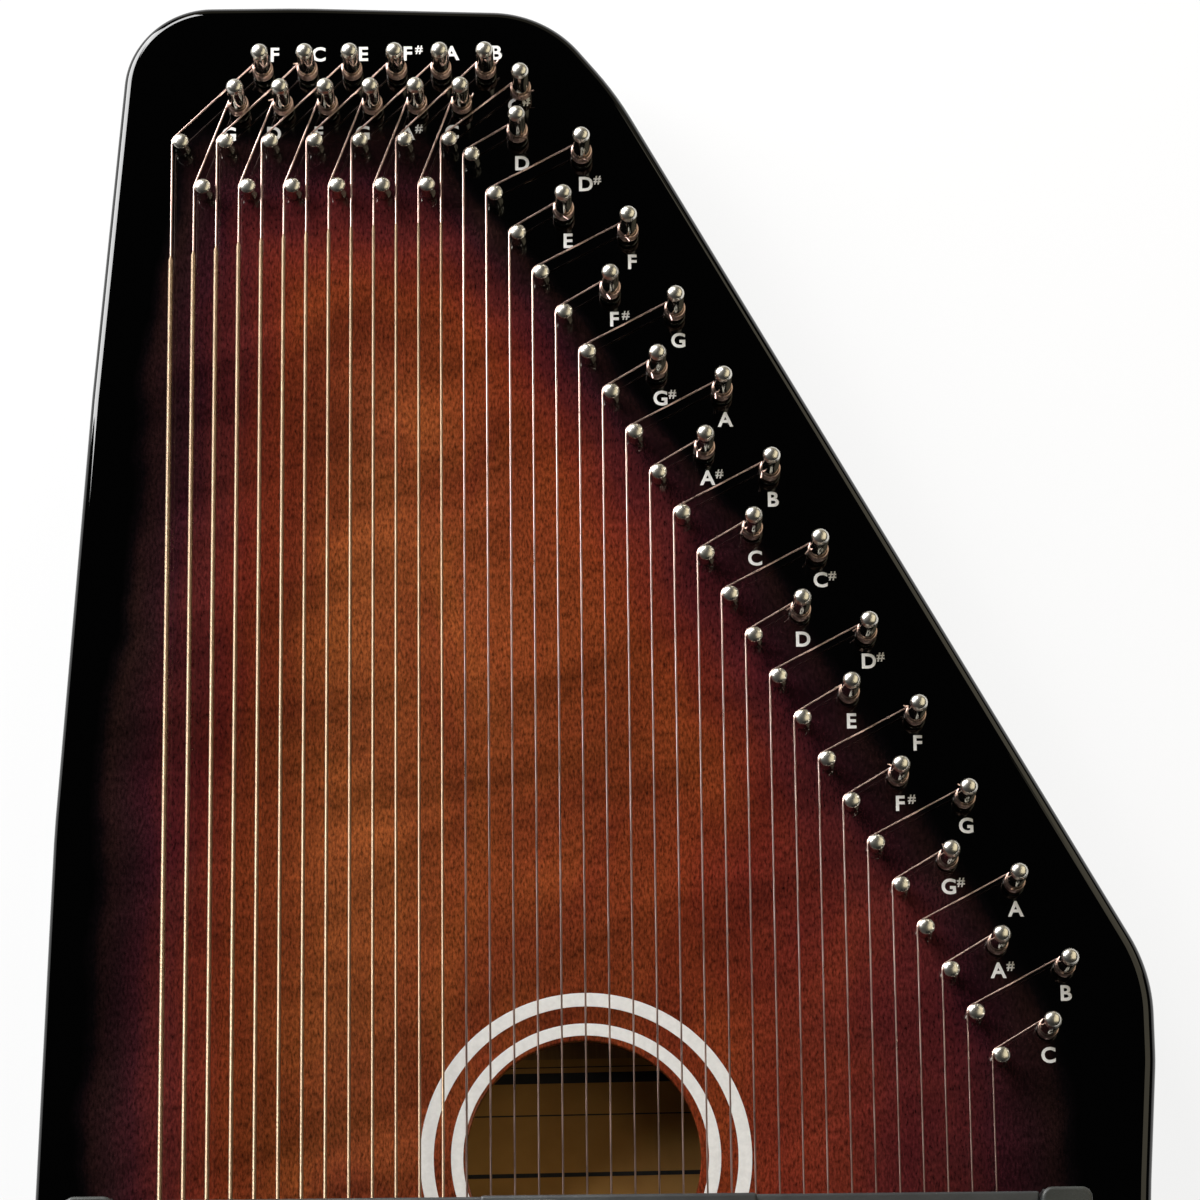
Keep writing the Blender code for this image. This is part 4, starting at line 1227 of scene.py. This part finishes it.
def felt_mesh(chord, name):
    """Felt pads of one bar, cut away over the strings that the chord lets ring."""
    open_notes = chord_tones(chord)
    edges = []
    start = string_x(1) - FELT_OVERHANG
    for number, note in enumerate(NOTE_NAMES, start=1):
        if note in open_notes:
            edges.append((start, string_x(number) - FELT_GAP))
            start = string_x(number) + FELT_GAP
    edges.append((start, string_x(STRING_COUNT) + FELT_OVERHANG))
    work = bmesh.new()
    for low_x, high_x in edges:
        if high_x - low_x > FELT_LEAST:
            rounded_box(work, (low_x, -FELT_HALF_WIDTH, FELT_BOTTOM),
                        (high_x, FELT_HALF_WIDTH, BAR_BOTTOM + FELT_INTO_BAR), FELT_EDGE, 2)
    return mesh_from(work, name)


def make_chord_bars():
    """Chord bars with their buttons and felts, each riding on its own body."""
    rail = rail_mesh()
    button = button_mesh()
    for index, chord in enumerate(CHORDS):
        node = f"chord_bar_{index + 1:02d}"
        middle = bar_middle(index)
        piece = link_piece(f"{node}_rail", rail.copy(), BAR_FINISH, node, "bar_finish", node)
        piece.location = (0.0, middle, 0.0)
        column = index % BUTTON_COLUMNS - (BUTTON_COLUMNS - 1) / 2
        cap = link_piece(f"{node}_button", button.copy(), BUTTON_PLASTIC, node, "button_plastic")
        cap.location = (PLATEAU_X + column * BUTTON_COLUMN_STEP, middle, BAR_TOP + PLATEAU_HEIGHT)
        felt = felt_mesh(chord, f"{node}_felt")
        pad = link_piece(f"{node}_felt", felt, FELT, node, "felt")
        pad.location = (0.0, middle, 0.0)


# Bar holders

SPRING_RADIUS = 0.0026
SPRING_WIRE = 0.00035
SPRING_TURNS = 7
SPRING_STEPS = 14
HOLDER_FLOOR = 0.0047
SLOT_GAP = 0.0004
CUTTER_REACH = 0.01
MOULDED_EDGE = 0.0004
COVER_CORNER = 0.0030
COVER_EDGE = 0.0009
COVER_ARC = math.radians(9)
SCREW_RADIUS = 0.0028
SCREW_FROM_END = 0.0085
SCREW_SINK = 0.0014
SCREW_HEIGHT = 0.0012
SCREW_SIDES = 32
CROSS_ARM = 0.0014
CROSS_HALF_WIDTH = 0.00028
CROSS_DEPTH = 0.0008


def make_holder(side, name):
    """Comb of slots that guides the ends of the bars, with its soft moulded edges."""
    low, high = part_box(name)
    inner = holder_face(side)
    solid = bmesh.new()
    rounded_box(solid, low, high, 0.0)
    comb = linked(f"{name}_comb", mesh_from(solid, f"{name}_comb"))
    cutter_work = bmesh.new()
    half = TONGUE_WIDTH / 2 + SLOT_GAP
    deep = inner + side * (TONGUE_LENGTH + SLOT_GAP)
    past = inner - side * CUTTER_REACH
    for index in range(BAR_COUNT):
        middle = bar_middle(index)
        rounded_box(cutter_work, (min(past, deep), middle - half, SEAT + HOLDER_FLOOR),
                    (max(past, deep), middle + half, high.z + CUTTER_REACH), 0.0)
    cutter = linked("comb_cutter", mesh_from(cutter_work, "comb_cutter"))
    cut = comb.modifiers.new("Slots", "BOOLEAN")
    cut.operation = "DIFFERENCE"
    cut.object = cutter
    soften = comb.modifiers.new("Soften", "BEVEL")
    soften.width = MOULDED_EDGE
    soften.segments = 2
    soften.limit_method = "ANGLE"
    bpy.context.view_layer.update()
    evaluated = comb.evaluated_get(bpy.context.evaluated_depsgraph_get())
    mesh = bpy.data.meshes.new_from_object(evaluated)
    bpy.data.objects.remove(comb, do_unlink=True)
    bpy.data.objects.remove(cutter, do_unlink=True)
    link_piece(f"{name}_comb", mesh, HOLDER_PLASTIC, "harp_body", "black_plastic", name)


def make_cover(name):
    """Cover strip with rounded ends, held by three countersunk screws."""
    low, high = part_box(name)
    outline = rounded_outline(rectangle(low.x, low.y, high.x, high.y, COVER_CORNER), COVER_ARC)
    middle_x = (low.x + high.x) / 2
    seat = high.z - SCREW_SINK
    screw_ys = [low.y + SCREW_FROM_END, (low.y + high.y) / 2, high.y - SCREW_FROM_END]
    holes = [(middle_x, y, SCREW_RADIUS, 0.0003, SCREW_SIDES, seat) for y in screw_ys]
    mesh = slab_mesh(f"{name}_strip", outline, low.z, high.z, 0.0, COVER_EDGE, holes, 4)
    link_piece(f"{name}_strip", mesh, COVER_PLASTIC, "harp_body", "cover_plastic", name)
    for index, y in enumerate(screw_ys, start=1):
        make_screw(f"{name}_screw_{index}", Vector((middle_x, y, seat)), 25 + 40 * index)


def make_screw(name, seat, turn):
    """Countersunk screw head with a cross recess."""
    radius, height = SCREW_RADIUS - 0.0002, SCREW_HEIGHT
    arm, half = CROSS_ARM, CROSS_HALF_WIDTH
    cross = [(arm, -half), (arm, half), (half, half), (half, arm), (-half, arm), (-half, half),
             (-arm, half), (-arm, -half), (-half, -half), (-half, -arm), (half, -arm), (half, -half)]
    profile = [(radius, 0.0), (radius, height - 0.0003), (radius - 0.0002, height - 0.0001),
               (radius - 0.0006, height)]
    work = bmesh.new()
    rings = [add_ring(work, circle_points(0.0, 0.0, size, SCREW_SIDES), level) for size, level in profile]
    join_rings(work, rings)
    recess = [add_ring(work, cross, level) for level in (height, height - CROSS_DEPTH)]
    bridge_rings(work, *recess)
    work.faces.new(recess[1])
    fill_rings(work, [rings[-1], recess[0]])
    work.faces.new(rings[0][::-1])
    bmesh.ops.rotate(work, verts=work.verts, matrix=Matrix.Rotation(math.radians(turn), 3, "Z"))
    body_piece(name, work, NICKEL, "nickel").location = seat


def make_springs():
    """Coil springs under the ends of the chord bars; a real one shortens as a bar is pressed, these keep
    their length.
    """
    floor = SEAT + HOLDER_FLOOR
    height = BAR_BOTTOM + TONGUE_STEP - floor
    steps = SPRING_TURNS * SPRING_STEPS
    for index in range(BAR_COUNT):
        node = f"chord_bar_{index + 1:02d}"
        for side, label in ((-1, "left"), (1, "right")):
            centre = Vector((holder_face(side) + side * TONGUE_LENGTH / 2, bar_middle(index), 0.0))
            points = []
            for step in range(steps + 1):
                angle = math.tau * SPRING_TURNS * step / steps
                climb = SPRING_WIRE + (height - 2 * SPRING_WIRE) * step / steps
                x, y = math.cos(angle) * SPRING_RADIUS, math.sin(angle) * SPRING_RADIUS
                points.append(centre + Vector((x, y, floor + climb)))
            work = bmesh.new()
            tube(work, points, [SPRING_WIRE] * len(points), 6)
            spring = body_piece(f"{node}_{label}_spring", work, SPRING_STEEL, "spring_steel")
            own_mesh(spring)


# Note names beside the tuning pins

LETTER_SIZE = 0.0060
LETTER_SPREAD = 0.00016
SHARP_SIZE = 0.0036
SHARP_STEP = (0.0034, 0.0022, 0.0)
LETTER_STEPS = {
    "far": Vector((0.0030, 0.0046)),
    "near": Vector((-0.0030, -0.0093)),
    "corner": Vector((-0.0018, -0.0053)),
    "first_diagonal": Vector((0.0012, -0.0101)),
    "last_diagonal": Vector((0.0004, -0.0088)),
}


def letter_step(number):
    """Step from a tuning pin's axis to the foot of its note name."""
    if number == CORNER_STRING:
        return LETTER_STEPS["corner"]
    if number < CORNER_STRING:
        return LETTER_STEPS["far" if number % 2 == 1 else "near"]
    share = (number - FIRST_DIAGONAL) / (STRING_COUNT - FIRST_DIAGONAL)
    return LETTER_STEPS["first_diagonal"].lerp(LETTER_STEPS["last_diagonal"], share)


def text_mesh(name, text, size, spread):
    """Flat letters as a thin closed mesh, standing on the line y = 0 and centred on x = 0."""
    curve = bpy.data.curves.new(name, "FONT")
    curve.body = text
    curve.size = size
    curve.align_x = "CENTER"
    curve.offset = spread
    curve.extrude = INK_HEIGHT / 2
    curve.resolution_u = 4
    obj = linked(name, curve)
    bpy.context.view_layer.update()
    mesh = bpy.data.meshes.new_from_object(obj.evaluated_get(bpy.context.evaluated_depsgraph_get()))
    bpy.data.objects.remove(obj, do_unlink=True)
    return mesh


def make_letters():
    """White note names printed on the top."""
    for number, note in enumerate(NOTE_NAMES, start=1):
        name = f"note_name_{number:02d}"
        work = bmesh.new()
        work.from_mesh(text_mesh(name, note[0], LETTER_SIZE, LETTER_SPREAD))
        if note.endswith("#"):
            first = len(work.verts)
            work.from_mesh(text_mesh(name, "#", SHARP_SIZE, LETTER_SPREAD / 2))
            work.verts.ensure_lookup_table()
            bmesh.ops.translate(work, vec=SHARP_STEP, verts=work.verts[first:])
        piece = body_piece(name, work, LETTERS, "letter_white")
        piece.location = (*(pin_centre(number) + letter_step(number)), BOARD_TOP + INK_HEIGHT / 2)


# Stage

WHITE = (1.0, 1.0, 1.0)
CREAM = (1.0, 0.90, 0.66)
LAMPS = {
    "left_key": ((-1.15, 1.285, 0.62), (0.0, 1.285, 0.27), (1.43, 1.1), 15.0, WHITE),
    "head_key": ((-0.625, 1.40, 1.15), (0.0, 0.0, 0.03), (0.6, 0.5), 15.0, WHITE),
    "right_fill": ((0.934, 0.815, 0.939), (0.274, 0.815, 0.189), (0.73, 0.92), 1.2, CREAM),
    "high_fill": ((0.768, 0.075, 1.085), (0.108, 0.075, 0.335), (0.75, 0.998), 1.05, CREAM),
    "head_fill": ((0.3, 1.75, 0.65), (0.0, 0.1, 0.1), (2.0, 1.0), 0.25, CREAM),
}
FLOOR_SIZE = 4.0
FLOOR_LEVEL = -0.0002
FLOOR_TONE = 0.86
FLOOR_GLOW = 0.86
SKY_STRENGTH = 0.02


def make_lamp(name, place, aim, size, radiance, tint):
    """Soft rectangular lamp of a given brightness as seen, from its place towards its aim."""
    lamp = bpy.data.lights.new(name, "AREA")
    lamp.shape = "RECTANGLE"
    lamp.size, lamp.size_y = size
    lamp.energy = radiance * math.pi * size[0] * size[1]
    lamp.color = tint
    obj = linked(name, lamp)
    obj.location = place
    obj.rotation_euler = (Vector(aim) - Vector(place)).to_track_quat("-Z", "Y").to_euler()


def make_floor():
    """Large pale floor, white as seen, that keeps the harp's shadow."""
    work = bmesh.new()
    bmesh.ops.create_grid(work, x_segments=8, y_segments=8, size=FLOOR_SIZE)
    mesh = mesh_from(work, "floor")
    mesh.transform(Matrix.Translation((0.0, 0.0, FLOOR_LEVEL)))
    floor = linked("floor", mesh)
    tree = Tree("floor")
    tree.set(Base_Color=(FLOOR_TONE, FLOOR_TONE, FLOOR_TONE, 1.0), Roughness=0.9)
    glow = tree.nodes.new("ShaderNodeEmission")
    glow.inputs["Strength"].default_value = 1.0
    blend = tree.nodes.new("ShaderNodeMixShader")
    rays = tree.nodes.new("ShaderNodeLightPath")
    mirrored = tree.math("MAXIMUM", rays.outputs["Is Glossy Ray"], rays.outputs["Is Transmission Ray"])
    seen = tree.math("MAXIMUM", rays.outputs["Is Camera Ray"], mirrored)
    tree.put(blend.inputs["Fac"], tree.math("MULTIPLY", seen, FLOOR_GLOW))
    tree.put(blend.inputs[1], tree.shader.outputs[0])
    tree.put(blend.inputs[2], glow.outputs[0])
    tree.put(tree.nodes["Material Output"].inputs["Surface"], blend.outputs[0])
    mesh.materials.append(tree.material)


def make_camera():
    """Camera of the photograph: steep, and a little from the tail."""
    camera = bpy.data.cameras.new("camera")
    camera.lens = CAMERA_LENS
    camera.sensor_width = 36.0
    camera.clip_start = 0.01
    obj = linked("camera", camera)
    turn = (CAMERA_AIM - CAMERA_PLACE).to_track_quat("-Z", "Y").to_matrix().to_4x4()
    obj.matrix_world = Matrix.Translation(CAMERA_PLACE) @ turn
    bpy.context.scene.camera = obj


def make_stage():
    """Camera, floor, lamps and a faint even light from all round."""
    make_camera()
    make_floor()
    for name, lamp in LAMPS.items():
        make_lamp(name, *lamp)
    world = bpy.data.worlds.new("world")
    world.use_nodes = True
    world.node_tree.nodes["Background"].inputs["Color"].default_value = (1.0, 1.0, 1.0, 1.0)
    world.node_tree.nodes["Background"].inputs["Strength"].default_value = SKY_STRENGTH
    bpy.context.scene.world = world
    bpy.context.scene.view_settings.view_transform = "Standard"


make_stage()
make_body()
make_rosette()
make_label()
make_guide_pins()
make_tuning_pins()
make_strings()
make_rails()
make_chord_bars()
make_holder(-1, "left_bar_holder")
make_holder(1, "right_bar_holder")
make_cover("left_holder_cover")
make_cover("right_holder_cover")
make_springs()
make_letters()
